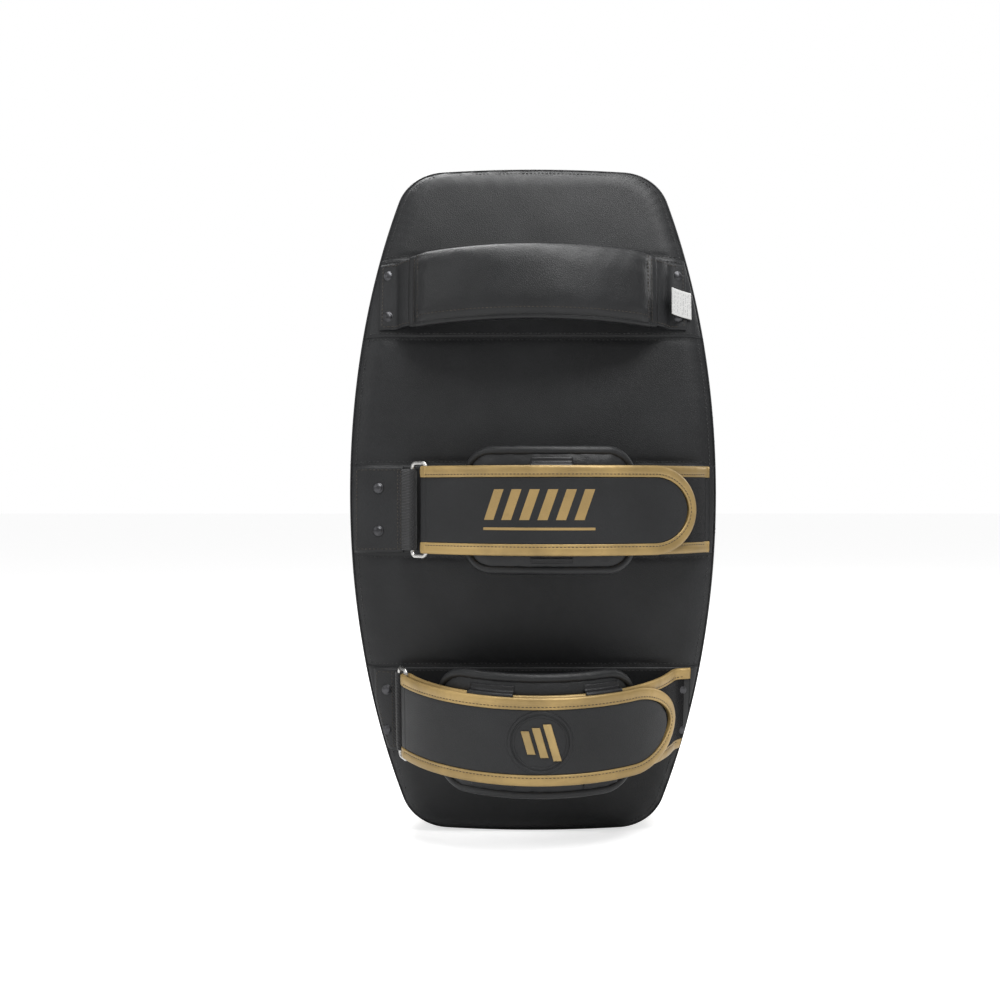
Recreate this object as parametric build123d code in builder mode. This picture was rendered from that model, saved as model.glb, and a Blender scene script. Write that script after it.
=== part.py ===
from build123d import *
import os
from math import acos, asin, atan2, cos, degrees, radians, sin, tan

# Kick shield: a bent foam pad in a sewn leather cover, with two arm loops and a hand grip on its back.
# Frame: +Z up, strike face towards -Y, straps towards +Y, origin at the bottom centre of the whole box.
# Millimetres and degrees.

# ---- driving dimensions: the pad ----
HEIGHT = 610.0
HALF_HEIGHT = HEIGHT / 2
MIDDLE_Z = HALF_HEIGHT + 0.81   # the back welt stands below the leather and touches the ground plane
HALF_WIDTH = 163.6
WIDEST_Z = 295.0
TOP_CORNER = (113.5, 604.5)     # where the side arc and the crowned end meet before rounding
BOTTOM_CORNER = (109.0, 5.0)
CORNER_RADIUS = 44.0
BACK_SEAM_RADIUS = 1240.0       # the pad is bent about an axis along X, in front of the strike face
FRONT_SEAM_RADIUS = 1154.0
STRIKE_RADIUS = 1129.0          # crest of the strike face, inside the front seam
BACK_RADIUS = 1248.0            # crest of the back panel
STRIKE_ROLL = 24.0              # rolled edge of the strike face
BACK_ROLL = 6.2
BACK_SEAM_Y = 23.24             # centres the whole shield's box on the origin
COVER = 1.6                     # leather thickness
FOAM_GAP = 0.3
FOAM_SPLITS = (1160.0, 1212.0)  # radii between the three foam layers
MID_SEAM_ANGLE = -0.5
PIPING = 1.5                    # half width of the front piping
WELT = 1.0                      # half width of the back welt

# ---- driving dimensions: back panel bands and rivets ----
BAND = 1.6
BACK_TRIM = 5.0                 # bands and strap feet end this far inside the pad's side
FOOT = 3.0
RIVET_HEAD = 4.5
RIVET_DOME = 1.8
RIVET_SHANK = 1.5
WASHER = 5.0
RIVET_SPREAD = 19.0             # half the distance between a pair of rivets

# ---- driving dimensions: straps ----
STRAP_HALF = 38.0
BINDING = 9.5
STRAP = 2.6
SLEEVE_GAP = 4.4                # between the base strap and the flap above it, the ring wire lies in it
RUNNING = 0.4
WIRE = 2.0
RING_PITCH = 15.5
RING_HALF = 41.0
RING_CORNER = 4.0
CUFF_HALF = 55.0
CUFF_THICK = 12.0
CUFF_CORNER = 25.0
CUFF_EDGE = 5.0
CUFF_ROLL = 1.5
TAPE = 2.0
KEEPER = 1.0

STRAPS = (
    dict(name="upper", angle=-0.4, arch=(-23.5, -90.0), radius=172.0, bar_x=94.0, ring_tilt=-36.0,
         foot_in=118.0, foot_out=157.0, tip_x=-143.0, root_angle=136.0, root_out=-156.0,
         cuff=(-88.0, 60.0), keepers=((-33.0, 2.5),), band=(-157.0, 157.0)),
    dict(name="lower", angle=-8.7, arch=(-5.0, -34.0), radius=138.0, bar_x=112.0, ring_tilt=-62.0,
         foot_in=123.5, foot_out=139.0, tip_x=-126.0, root_angle=153.0, root_out=-140.0,
         cuff=(-87.0, 82.0), keepers=((17.0, 55.0), (-74.0, -45.0)), band=(-140.0, 140.0)),
)

# ---- driving dimensions: hand grip, label and closure ----
GRIP_ANGLE = 8.4
GRIP_CENTRE_Y = -144.0          # arch centre, in the grip's local frame
GRIP_RADIUS = 202.0
GRIP_HALF_HEIGHT = 34.0
GRIP_HALF_THICK = 14.3
GRIP_HALF_LENGTH = 110.0
GRIP_SHELL = 1.5
GRIP_STRAP = 3.0
GRIP_STRAP_HALF = 31.0
GRIP_FOOT = (118.0, 137.0)
GRIP_RIVET_X = 130.0
LABEL = (28.0, 24.5, 0.6)
LABEL_ROOT = (-142.5, 9.2)
LABEL_LEAN = 46.0
LABEL_ANGLE = 8.0
CLOSURE_RADIUS = 1197.0
CLOSURE_TOP = 130.0
FACING_TOP = 165.0
CLOSURE_TAPE = 9.3
FACING = (11.6, 28.0, 1.2)
LACE = (4.0, 1.2)
LACE_PITCH = 26.0
LACE_CLEARANCE = 0.3
BADGE_RADIUS = 13.0
BADGE = 1.5

AXIS_Y = BACK_SEAM_Y - BACK_SEAM_RADIUS
END_ANGLE = degrees(asin(HALF_HEIGHT / BACK_SEAM_RADIUS))
REACH = 200.0                   # further than the pad is wide
LOOP_REACH = 150.0              # further than the arm loops stand out of the back
WIDE = 20.0                     # an angle past both ends of the pad
SADDLE = BACK_RADIUS + BAND     # radius that the strap feet stand on

os.makedirs("parts", exist_ok=True)


def save(piece, name):
    """Label a finished sub-part and write it."""
    piece.part.label = name
    export_step(piece.part, f"parts/{name}.step")


# ---- geometry shared by many pieces ----
def outline(distance, inset):
    """Shield outline at a distance behind the bend axis; the ends lie on planes through that axis."""
    stretch = distance * tan(radians(END_ANGLE)) / HALF_HEIGHT
    half = HALF_HEIGHT - inset
    top = TOP_CORNER[0] - inset, (TOP_CORNER[1] - HALF_HEIGHT - inset) * stretch
    bottom = BOTTOM_CORNER[0] - inset, (BOTTOM_CORNER[1] - HALF_HEIGHT + inset) * stretch
    side = HALF_WIDTH - inset, (WIDEST_Z - HALF_HEIGHT) * stretch
    plane = Plane(origin=(0, AXIS_Y + distance, MIDDLE_Z), x_dir=(1, 0, 0), z_dir=(0, -1, 0))
    with BuildSketch(plane) as sketch:
        with BuildLine():
            ThreePointArc(top, side, bottom)
            ThreePointArc(bottom, (0, -half * stretch), (-bottom[0], bottom[1]))
            ThreePointArc((-bottom[0], bottom[1]), (-side[0], side[1]), (-top[0], top[1]))
            ThreePointArc((-top[0], top[1]), (0, half * stretch), top)
        make_face()
        fillet(sketch.vertices(), CORNER_RADIUS - inset)
    return sketch.sketch


def side_wall(inset):
    """The pad's outline carried along the bend's radii, through its whole thickness."""
    front = outline(STRIKE_RADIUS - 60, inset)
    back = outline(BACK_RADIUS + LOOP_REACH, inset)
    loft(sections=[front, back], ruled=True)


def bend(r_in, r_out, low=-WIDE, high=WIDE, x_low=-REACH, x_high=REACH, mode=Mode.ADD):
    """A plate that follows the pad's bend, between two radii, two angles and two places along X."""
    with BuildSketch(Plane.YZ.offset(x_low)) as section:
        with BuildLine():
            inner = CenterArc((AXIS_Y, MIDDLE_Z), r_in, low, high - low)
            outer = CenterArc((AXIS_Y, MIDDLE_Z), r_out, low, high - low)
            Line(inner @ 0, outer @ 0)
            Line(inner @ 1, outer @ 1)
        make_face()
    extrude(section.sketch, amount=x_high - x_low, mode=mode)


def pad_block(inset):
    """The whole pad, drawn in by an inset on every side, with its rolled front and back edges."""
    with BuildPart() as block:
        side_wall(inset)
        bend(STRIKE_RADIUS + inset, BACK_RADIUS - inset, mode=Mode.INTERSECT)
        faces = block.faces().sort_by(Axis.Y)
        fillet(faces[0].edges(), STRIKE_ROLL - inset)
        faces = block.faces().sort_by(Axis.Y)
        fillet(faces[-1].edges(), BACK_ROLL - inset)
    return block


def back_plane(angle, x=0.0, radius=BACK_SEAM_RADIUS):
    """Frame on the back: local x along X, local y straight out of the back, local z up the back."""
    a = radians(angle)
    origin = (x, AXIS_Y + radius * cos(a), MIDDLE_Z + radius * sin(a))
    return Plane(origin=origin, x_dir=(1, 0, 0), z_dir=(0, -sin(a), cos(a)))


def arc_plate(plane, centre, r_in, r_out, low, high, z_low, z_high, mode=Mode.ADD):
    """A plate bent round an arch, in a back frame, between two local heights."""
    with BuildSketch(plane.offset(z_low)) as section:
        with BuildLine():
            inner = CenterArc(centre, r_in, low, high - low)
            outer = CenterArc(centre, r_out, low, high - low)
            Line(inner @ 0, outer @ 0)
            Line(inner @ 1, outer @ 1)
        make_face()
    extrude(section.sketch, amount=z_high - z_low, mode=mode)


def polygon_bar(plane, points, z_low, z_high, mode=Mode.ADD):
    """A straight bar with a polygon section, in a back frame, between two local heights."""
    with BuildSketch(plane.offset(z_low)) as section:
        with BuildLine():
            Polyline(*points, close=True)
        make_face()
    extrude(section.sketch, amount=z_high - z_low, mode=mode)


def plan_plane(plane):
    """Plane that faces out of the back, for shapes seen from behind: its x along X, its y up the back."""
    return Plane(origin=plane.origin, x_dir=(-1, 0, 0), z_dir=plane.y_dir)


def on_arc(centre, radius, angle):
    """Point on an arch at an angle in degrees."""
    return centre[0] + radius * cos(radians(angle)), centre[1] + radius * sin(radians(angle))


# ---- rivets and washers ----
def rivet_places():
    """Frames at the foot of every rivet head."""
    spread = degrees(RIVET_SPREAD / SADDLE)
    foot_top = SADDLE + FOOT
    places = []
    for strap in STRAPS:
        ring_x = (strap["foot_in"] + strap["foot_out"]) / 2
        root_x = strap["root_out"] + 7.0
        for x in (ring_x, root_x):
            places += [back_plane(strap["angle"] + k * spread, x, foot_top) for k in (-1, 1)]
    for x in (-GRIP_RIVET_X, GRIP_RIVET_X):
        places += [back_plane(GRIP_ANGLE + k * spread, x, foot_top) for k in (-1, 1)]
    return [Plane(origin=p.origin, x_dir=p.x_dir, z_dir=p.y_dir) for p in places]


RIVET_LENGTH = FOOT + BAND + COVER + 1.2
WASHER_DEPTH = FOOT + BAND + COVER + 0.15
WASHER_THICK = 0.8

with BuildPart() as rivets:
    for place in rivet_places():
        with BuildSketch(place):
            Circle(RIVET_SHANK)
        extrude(amount=-RIVET_LENGTH)
        with BuildSketch(place):
            Circle(RIVET_HEAD)
        extrude(amount=RIVET_DOME, taper=30)
save(rivets, "rivets")

with BuildPart() as rivet_washers:
    for place in rivet_places():
        with BuildSketch(place.offset(-WASHER_DEPTH)):
            Circle(WASHER)
            Circle(RIVET_SHANK, mode=Mode.SUBTRACT)
        extrude(amount=-WASHER_THICK)
save(rivet_washers, "rivet_washers")

with BuildPart() as rivet_pockets:
    for place in rivet_places():
        with BuildSketch(place):
            Circle(WASHER + 1.0)
        extrude(amount=-RIVET_LENGTH - 1.0)

# ---- cover ----
outer_block = pad_block(0.0)
inner_block = pad_block(COVER)

with BuildPart() as cover:
    add(outer_block.part)
    add(inner_block.part, mode=Mode.SUBTRACT)

with BuildPart() as strike_panel:
    add(cover.part)
    bend(STRIKE_RADIUS - 10, FRONT_SEAM_RADIUS - PIPING, mode=Mode.INTERSECT)
save(strike_panel, "strike_panel")

with BuildPart() as back_panel:
    add(cover.part)
    bend(BACK_SEAM_RADIUS + WELT, BACK_RADIUS + 10, mode=Mode.INTERSECT)
    add(rivets.part, mode=Mode.SUBTRACT)
    add(rivet_washers.part, mode=Mode.SUBTRACT)
save(back_panel, "back_panel")

for name, low, high in (("upper_side_band", MID_SEAM_ANGLE, WIDE), ("lower_side_band", -WIDE, MID_SEAM_ANGLE)):
    with BuildPart() as side_band:
        add(cover.part)
        bend(FRONT_SEAM_RADIUS + PIPING, BACK_SEAM_RADIUS - WELT, low, high, mode=Mode.INTERSECT)
    save(side_band, name)

with BuildPart() as inner_wall:
    side_wall(COVER)

with BuildPart() as trim_wall:
    side_wall(BACK_TRIM)

for name, radius, half, proud in (
    ("strike_piping", FRONT_SEAM_RADIUS, PIPING, 1.0),
    ("back_welt", BACK_SEAM_RADIUS, WELT, 0.6),
):
    with BuildPart() as cord_ring:
        side_wall(-proud)
        add(inner_wall.part, mode=Mode.SUBTRACT)
        bend(radius - half, radius + half, mode=Mode.INTERSECT)
    save(cord_ring, name)

# ---- foam ----
foam_block = pad_block(COVER + FOAM_GAP)
foam_layers = (
    ("impact_foam", STRIKE_RADIUS - 10, FOAM_SPLITS[0]),
    ("core_foam", FOAM_SPLITS[0], FOAM_SPLITS[1]),
    ("support_foam", FOAM_SPLITS[1], BACK_RADIUS + 10),
)
for name, r_in, r_out in foam_layers:
    with BuildPart() as foam:
        add(foam_block.part)
        bend(r_in, r_out, mode=Mode.INTERSECT)
        if name == "support_foam":
            add(rivet_pockets.part, mode=Mode.SUBTRACT)
    save(foam, name)

# ---- bands sewn across the back ----
back_bands = [("handle_back_band", GRIP_ANGLE, 36.5, -137.0, 137.0)]
back_bands += [(f"{s['name']}_back_band", s["angle"], 39.0, s["band"][0], s["band"][1]) for s in STRAPS]
for name, angle, half, x_low, x_high in back_bands:
    spread = degrees(half / SADDLE)
    with BuildPart() as back_band:
        bend(BACK_RADIUS, SADDLE, angle - spread, angle + spread, x_low, x_high)
        add(trim_wall.part, mode=Mode.INTERSECT)
        add(rivets.part, mode=Mode.SUBTRACT)
    save(back_band, name)

# ---- arm loops ----
for strap in STRAPS:
    name = strap["name"]
    centre = strap["arch"]
    plane = back_plane(strap["angle"])
    seen = plan_plane(plane)
    flap_out = strap["radius"]
    flap_in = flap_out - STRAP
    base_out = flap_in - SLEEVE_GAP
    base_in = base_out - STRAP
    bar_radius = flap_in - SLEEVE_GAP / 2
    bar_angle = degrees(acos((strap["bar_x"] - centre[0]) / bar_radius))
    bar = on_arc(centre, bar_radius, bar_angle)
    tab_bar = on_arc(bar, RING_PITCH, strap["ring_tilt"])
    start_angle = bar_angle + degrees(5.0 / bar_radius)
    tip_angle = degrees(acos((strap["tip_x"] - centre[0]) / flap_out))
    foot_spread = degrees(STRAP_HALF / SADDLE)
    angle = strap["angle"]

    # patch that holds the ring's webbing down
    with BuildPart() as anchor_patch:
        bend(SADDLE, SADDLE + FOOT, angle - foot_spread, angle + foot_spread, strap["foot_in"], strap["foot_out"])
        add(trim_wall.part, mode=Mode.INTERSECT)
        add(rivets.part, mode=Mode.SUBTRACT)
    save(anchor_patch, f"{name}_anchor_patch")

    # webbing from the patch round the ring's fixed bar
    lift = SADDLE - BACK_SEAM_RADIUS
    wrap_in = WIRE + 0.2
    wrap_out = wrap_in + 1.5
    edge = strap["foot_in"]
    with BuildPart() as ring_webbing:
        with BuildSketch(plane.offset(-STRAP_HALF + 1)):
            with Locations(tab_bar):
                Circle(wrap_out)
            away = atan2(lift + FOOT / 2 - tab_bar[1], edge - tab_bar[0])
            side = (-sin(away) * wrap_out * 0.8, cos(away) * wrap_out * 0.8)
            with BuildLine():
                Polyline(
                    (tab_bar[0] + side[0], tab_bar[1] + side[1]),
                    (edge, lift + FOOT),
                    (edge, lift + 0.05),
                    (tab_bar[0] - side[0], tab_bar[1] - side[1]),
                    close=True,
                )
            make_face()
            with Locations(tab_bar):
                Circle(wrap_in, mode=Mode.SUBTRACT)
        extrude(amount=2 * (STRAP_HALF - 1))
        bend(SADDLE - 30, SADDLE, mode=Mode.SUBTRACT)
    save(ring_webbing, f"{name}_ring_webbing")

    # wire ring, a rounded rectangle between the fixed bar and the strap bar
    ring_mid = ((bar[0] + tab_bar[0]) / 2, (bar[1] + tab_bar[1]) / 2)
    ring_x = Vector(tab_bar[0] - bar[0], tab_bar[1] - bar[1]).normalized()
    ring_dir = plane.x_dir * ring_x.X + plane.y_dir * ring_x.Y
    ring_plane = Plane(
        origin=plane.from_local_coords((ring_mid[0], ring_mid[1], 0)),
        x_dir=ring_dir,
        z_dir=ring_dir.cross(plane.z_dir),
    )
    with BuildSketch(ring_plane) as ring_shape:
        RectangleRounded(RING_PITCH, 2 * RING_HALF, RING_CORNER)
    path = ring_shape.sketch.face().outer_wire()
    with BuildPart() as ring:
        with BuildSketch(Plane(origin=path @ 0, z_dir=path % 0)):
            Circle(WIRE)
        sweep(path=path)
    save(ring, f"{name}_ring")

    # base strap: sewn in at the side seam, over the arm, to the ring
    def base_profile(z_low, z_high):
        """The base strap's arch and its straight run down to the back."""
        root = strap["root_angle"]
        arc_plate(plane, centre, base_in, base_out, start_angle, root, z_low, z_high)
        outer_end = on_arc(centre, base_out, root)
        inner_end = on_arc(centre, base_in, root)
        fall = (outer_end[1] - lift + 6.0) / -cos(radians(root))
        run = (-sin(radians(root)) * fall, cos(radians(root)) * fall)
        polygon_bar(
            plane,
            [outer_end, inner_end, (inner_end[0] + run[0], inner_end[1] + run[1]),
             (outer_end[0] + run[0], outer_end[1] + run[1])],
            z_low, z_high,
        )
        bend(SADDLE - 30, SADDLE, mode=Mode.SUBTRACT)
        low = angle + degrees(z_low / SADDLE)
        high = angle + degrees(z_high / SADDLE)
        foot_end = strap["root_out"] + 16.0
        bend(SADDLE, SADDLE + FOOT, low, high, strap["root_out"], foot_end)

    with BuildPart() as base_strap:
        base_profile(-STRAP_HALF + BINDING, STRAP_HALF - BINDING)
        add(trim_wall.part, mode=Mode.INTERSECT)
        add(rivets.part, mode=Mode.SUBTRACT)
    save(base_strap, f"{name}_base_strap")

    with BuildPart() as base_binding:
        base_profile(STRAP_HALF - BINDING, STRAP_HALF)
        base_profile(-STRAP_HALF, -STRAP_HALF + BINDING)
        add(trim_wall.part, mode=Mode.INTERSECT)
        add(rivets.part, mode=Mode.SUBTRACT)
    save(base_binding, f"{name}_base_binding")

    tape_low = tip_angle - degrees(37.0 / flap_out)
    tape_high = tip_angle - degrees(4.0 / flap_out)
    with BuildPart() as loop_tape:
        arc_plate(plane, centre, base_out, base_out + TAPE, tape_low, tape_high,
                  -STRAP_HALF + BINDING, STRAP_HALF - BINDING)
    save(loop_tape, f"{name}_loop_tape")

    # fold of the strap round the ring's free bar
    with BuildPart() as fold:
        fold_in = SLEEVE_GAP / 2
        leg = 4.6
        tangent = degrees(atan2(centre[1] - bar[1], centre[0] - bar[0])) + 180
        arc_plate(plane, bar, fold_in, fold_in + STRAP, tangent - 180, tangent, -STRAP_HALF, STRAP_HALF)
        along = (-sin(radians(tangent)) * leg, cos(radians(tangent)) * leg)
        for r_in, r_out in ((fold_in, fold_in + STRAP), (-fold_in - STRAP, -fold_in)):
            near = on_arc(bar, r_in, tangent)
            far = on_arc(bar, r_out, tangent)
            polygon_bar(
                plane,
                [near, far, (far[0] + along[0], far[1] + along[1]), (near[0] + along[0], near[1] + along[1])],
                -STRAP_HALF, STRAP_HALF,
            )
    save(fold, f"{name}_fold")

    # flap: the outer strap, from the ring to its round tip
    def flap_plan(inset, mode):
        """Keep or cut the flap's shape as seen from behind."""
        round_x = strap["tip_x"] + STRAP_HALF
        length = REACH - round_x
        with BuildSketch(seen) as plan:
            with Locations((-round_x, 0)):
                Circle(STRAP_HALF - inset)
            with Locations((-round_x - length / 2, 0)):
                Rectangle(length, 2 * (STRAP_HALF - inset))
        extrude(plan.sketch, amount=REACH, mode=mode)

    with BuildPart() as flap:
        arc_plate(plane, centre, flap_in, flap_out, start_angle, tip_angle, -STRAP_HALF, STRAP_HALF)
        flap_plan(BINDING, Mode.INTERSECT)
    save(flap, f"{name}_flap")

    with BuildPart() as flap_binding:
        arc_plate(plane, centre, flap_in, flap_out, start_angle, tip_angle, -STRAP_HALF, STRAP_HALF)
        flap_plan(0.0, Mode.INTERSECT)
        flap_plan(BINDING, Mode.SUBTRACT)
    save(flap_binding, f"{name}_flap_binding")

    with BuildPart() as hook_tape:
        arc_plate(plane, centre, flap_in - TAPE, flap_in, tape_low, tape_high, -STRAP_HALF, STRAP_HALF)
        flap_plan(BINDING, Mode.INTERSECT)
    save(hook_tape, f"{name}_hook_tape")

    # padded cuff that slides on the base strap
    cuff_out = base_in - RUNNING
    cuff_in = cuff_out - CUFF_THICK
    cuff_mid_x = (strap["cuff"][0] + strap["cuff"][1]) / 2
    cuff_length = strap["cuff"][1] - strap["cuff"][0]

    def cuff_slab(r_in, r_out, inset, mode=Mode.ADD):
        """A slab of the cuff, drawn in from its edge by an inset."""
        with BuildSketch(seen) as plan:
            with Locations((-cuff_mid_x, 0)):
                RectangleRounded(cuff_length - 2 * inset, 2 * (CUFF_HALF - inset), CUFF_CORNER - inset)
        with BuildPart() as slab:
            arc_plate(plane, centre, r_in, r_out, 20, 160, -CUFF_HALF, CUFF_HALF)
            extrude(plan.sketch, amount=REACH, mode=Mode.INTERSECT)
        return slab

    cuff_body = cuff_slab(cuff_in, cuff_out, CUFF_EDGE)
    cuff_hollow = cuff_slab(cuff_in + COVER, cuff_out - COVER, CUFF_EDGE + COVER)
    cuff_whole = cuff_slab(cuff_in + CUFF_ROLL, cuff_out - CUFF_ROLL, 0.0)

    with BuildPart() as cuff_cover:
        add(cuff_body.part)
        add(cuff_hollow.part, mode=Mode.SUBTRACT)
    save(cuff_cover, f"{name}_cuff_cover")

    with BuildPart() as cuff_foam:
        add(cuff_hollow.part)
    save(cuff_foam, f"{name}_cuff_foam")

    with BuildPart() as cuff_binding:
        add(cuff_whole.part)
        add(cuff_body.part, mode=Mode.SUBTRACT)
    save(cuff_binding, f"{name}_cuff_binding")

    keeper_in = base_out + RUNNING
    with BuildPart() as cuff_keepers:
        for x_low, x_high in strap["keepers"]:
            low = degrees(acos((x_high - centre[0]) / base_out))
            high = degrees(acos((x_low - centre[0]) / base_out))
            bridge = STRAP_HALF + RUNNING
            arc_plate(plane, centre, keeper_in, keeper_in + KEEPER, low, high, -bridge, bridge)
            arc_plate(plane, centre, cuff_out, keeper_in + KEEPER, low, high, bridge, bridge + 5)
            arc_plate(plane, centre, cuff_out, keeper_in + KEEPER, low, high, -bridge - 5, -bridge)
    save(cuff_keepers, f"{name}_cuff_keepers")

    if name == "lower":
        with BuildPart() as badge:
            arc_plate(plane, centre, flap_out, flap_out + BADGE, 60, 120, -STRAP_HALF, STRAP_HALF)
            with BuildSketch(seen):
                with Locations((6.0, 0)):
                    RegularPolygon(BADGE_RADIUS, 8)
            extrude(amount=REACH, mode=Mode.INTERSECT)
        save(badge, "lower_badge")

# ---- hand grip ----
grip_plane = back_plane(GRIP_ANGLE)
grip_centre = (0.0, GRIP_CENTRE_Y)
grip_end = degrees(acos(GRIP_HALF_LENGTH / GRIP_RADIUS))
lift = SADDLE - BACK_SEAM_RADIUS

with BuildPart() as handle_strap:
    half = GRIP_STRAP / 2
    arc_plate(grip_plane, grip_centre, GRIP_RADIUS - half, GRIP_RADIUS + half, grip_end - 1, 181 - grip_end,
              -GRIP_STRAP_HALF, GRIP_STRAP_HALF)
    for sign in (-1, 1):
        outer_end = on_arc(grip_centre, GRIP_RADIUS + half, grip_end - 1)
        inner_end = on_arc(grip_centre, GRIP_RADIUS - half, grip_end - 1)
        points = [outer_end, inner_end, (GRIP_FOOT[0] + 3.0, lift - 1.0), (GRIP_FOOT[0] + 7.5, lift - 1.0)]
        polygon_bar(grip_plane, [(sign * x, y) for x, y in points], -GRIP_STRAP_HALF, GRIP_STRAP_HALF)
    bend(SADDLE - 30, SADDLE, mode=Mode.SUBTRACT)
    spread = degrees(GRIP_STRAP_HALF / SADDLE)
    for x_low, x_high in (GRIP_FOOT, (-GRIP_FOOT[1], -GRIP_FOOT[0])):
        bend(SADDLE, SADDLE + FOOT, GRIP_ANGLE - spread, GRIP_ANGLE + spread, x_low, x_high)
    add(rivets.part, mode=Mode.SUBTRACT)
save(handle_strap, "handle_strap")


def grip_block(inset):
    """The padded grip, drawn in by an inset, with its ends rounded down to the strap."""
    with BuildPart() as block:
        trim = degrees(inset / GRIP_RADIUS)
        arc_plate(grip_plane, grip_centre, GRIP_RADIUS - GRIP_HALF_THICK + inset,
                  GRIP_RADIUS + GRIP_HALF_THICK - inset, grip_end + trim, 180 - grip_end - trim,
                  -GRIP_HALF_HEIGHT + inset, GRIP_HALF_HEIGHT - inset)
        long_edges = block.edges().filter_by(GeomType.CIRCLE)
        fillet(long_edges, 9.0 - inset)
    return block


grip_outer = grip_block(0.0)
grip_inner = grip_block(GRIP_SHELL)

with BuildPart() as handle_grip_cover:
    add(grip_outer.part)
    add(grip_inner.part, mode=Mode.SUBTRACT)
    add(handle_strap.part, mode=Mode.SUBTRACT)
save(handle_grip_cover, "handle_grip_cover")

with BuildPart() as handle_grip_foam:
    add(grip_inner.part)
    add(handle_strap.part, mode=Mode.SUBTRACT)
save(handle_grip_foam, "handle_grip_foam")

# ---- care label, a loose tab sewn at the back seam ----
with BuildPart() as care_label:
    lean = (cos(radians(LABEL_LEAN)), sin(radians(LABEL_LEAN)))
    corner = LABEL_ROOT
    end = (corner[0] + LABEL[0] * lean[0], corner[1] + LABEL[0] * lean[1])
    thick = (-lean[1] * LABEL[2], lean[0] * LABEL[2])
    polygon_bar(
        back_plane(LABEL_ANGLE),
        [corner, end, (end[0] + thick[0], end[1] + thick[1]), (corner[0] + thick[0], corner[1] + thick[1])],
        -LABEL[1] / 2, LABEL[1] / 2,
    )
save(care_label, "care_label")


# ---- laced closure round the bottom of the side band ----
def skin(low, high):
    """A thin layer on the outside of the side band, between two heights above it."""
    with BuildPart() as core:
        side_wall(-low)
    with BuildPart() as layer:
        side_wall(-high)
        add(core.part, mode=Mode.SUBTRACT)
        bend(FRONT_SEAM_RADIUS + PIPING, BACK_SEAM_RADIUS - WELT, mode=Mode.INTERSECT)
    return layer


def below(level):
    """Cut away everything above a height."""
    with BuildSketch(Plane.XY.offset(level)) as cut:
        Rectangle(2 * REACH, 4 * REACH)
    extrude(cut.sketch, amount=HEIGHT, mode=Mode.SUBTRACT)


facing_skin = skin(0.0, FACING[2])

with BuildPart() as slot:
    bend(CLOSURE_RADIUS - FACING[0], CLOSURE_RADIUS + FACING[0])
    below(CLOSURE_TOP + 3.0)

with BuildPart() as closure_facing:
    add(facing_skin.part)
    bend(CLOSURE_RADIUS - FACING[1], CLOSURE_RADIUS + FACING[1], mode=Mode.INTERSECT)
    below(FACING_TOP)
    add(slot.part, mode=Mode.SUBTRACT)
save(closure_facing, "closure_facing")

with BuildPart() as closure_tapes:
    add(facing_skin.part)
    bend(CLOSURE_RADIUS - CLOSURE_TAPE, CLOSURE_RADIUS + CLOSURE_TAPE, mode=Mode.INTERSECT)
    bend(CLOSURE_RADIUS - 0.1, CLOSURE_RADIUS + 0.1, mode=Mode.SUBTRACT)
    below(CLOSURE_TOP)
save(closure_tapes, "closure_tapes")


# the lace runs to and fro over the tapes and steps along beside them
lace_edge = (CLOSURE_TAPE + FACING[0]) / 2
lace_edge_width = FACING[0] - CLOSURE_TAPE - 0.2
lace_width = 2 * lace_edge + lace_edge_width
bar_lift = FACING[2] + LACE_CLEARANCE + LACE[1] / 2
run_lift = bar_lift - 0.32
run_thick = 1.8

with BuildPart() as route_slab:
    side_wall(0.0)
    bend(CLOSURE_RADIUS, BACK_RADIUS, mode=Mode.INTERSECT)
route = route_slab.faces().filter_by(GeomType.CYLINDER).sort_by(Axis.Y)[0].outer_wire()
bottom_y = AXIS_Y + CLOSURE_RADIUS * cos(radians(END_ANGLE))
bottom_z = MIDDLE_Z - CLOSURE_RADIUS * sin(radians(END_ANGLE))
route_start = route.param_at_point((0, bottom_y, bottom_z))


def lace_frame(steps):
    """Frame on the closure's centre line: x along it, y across it, z out of the leather."""
    u = (route_start + steps * LACE_PITCH / route.length) % 1.0
    point = route.position_at(u)
    along = route.tangent_at(u)
    across = Vector(0, point.Y - AXIS_Y, point.Z - MIDDLE_Z).normalized()
    normal = along.cross(across)
    if normal.dot(point - Vector(0, point.Y, MIDDLE_Z)) < 0:
        along = -along
        normal = -normal
    return Plane(origin=point, x_dir=along, z_dir=normal)


lace_end = max(k for k in range(20) if lace_frame(k).origin.Z < CLOSURE_TOP - LACE[0])
crossings = range(-lace_end, lace_end + 1)


def beside(frame, across, lift):
    """A frame moved across the closure and out of the leather."""
    origin = frame.origin + frame.y_dir * across + frame.z_dir * lift
    return Plane(origin=origin, x_dir=frame.x_dir, z_dir=frame.z_dir)


with BuildPart() as closure_lace:
    with Locations(*[beside(lace_frame(k), 0, bar_lift) for k in crossings]):
        Box(LACE[0], lace_width, LACE[1])
    for k in crossings[:-1]:
        side = lace_edge if k % 2 else -lace_edge
        with Locations(*[beside(lace_frame(k + part), side, run_lift) for part in (0.25, 0.75)]):
            Box(LACE_PITCH / 2 + 3.0, lace_edge_width, run_thick)
save(closure_lace, "closure_lace")
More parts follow.
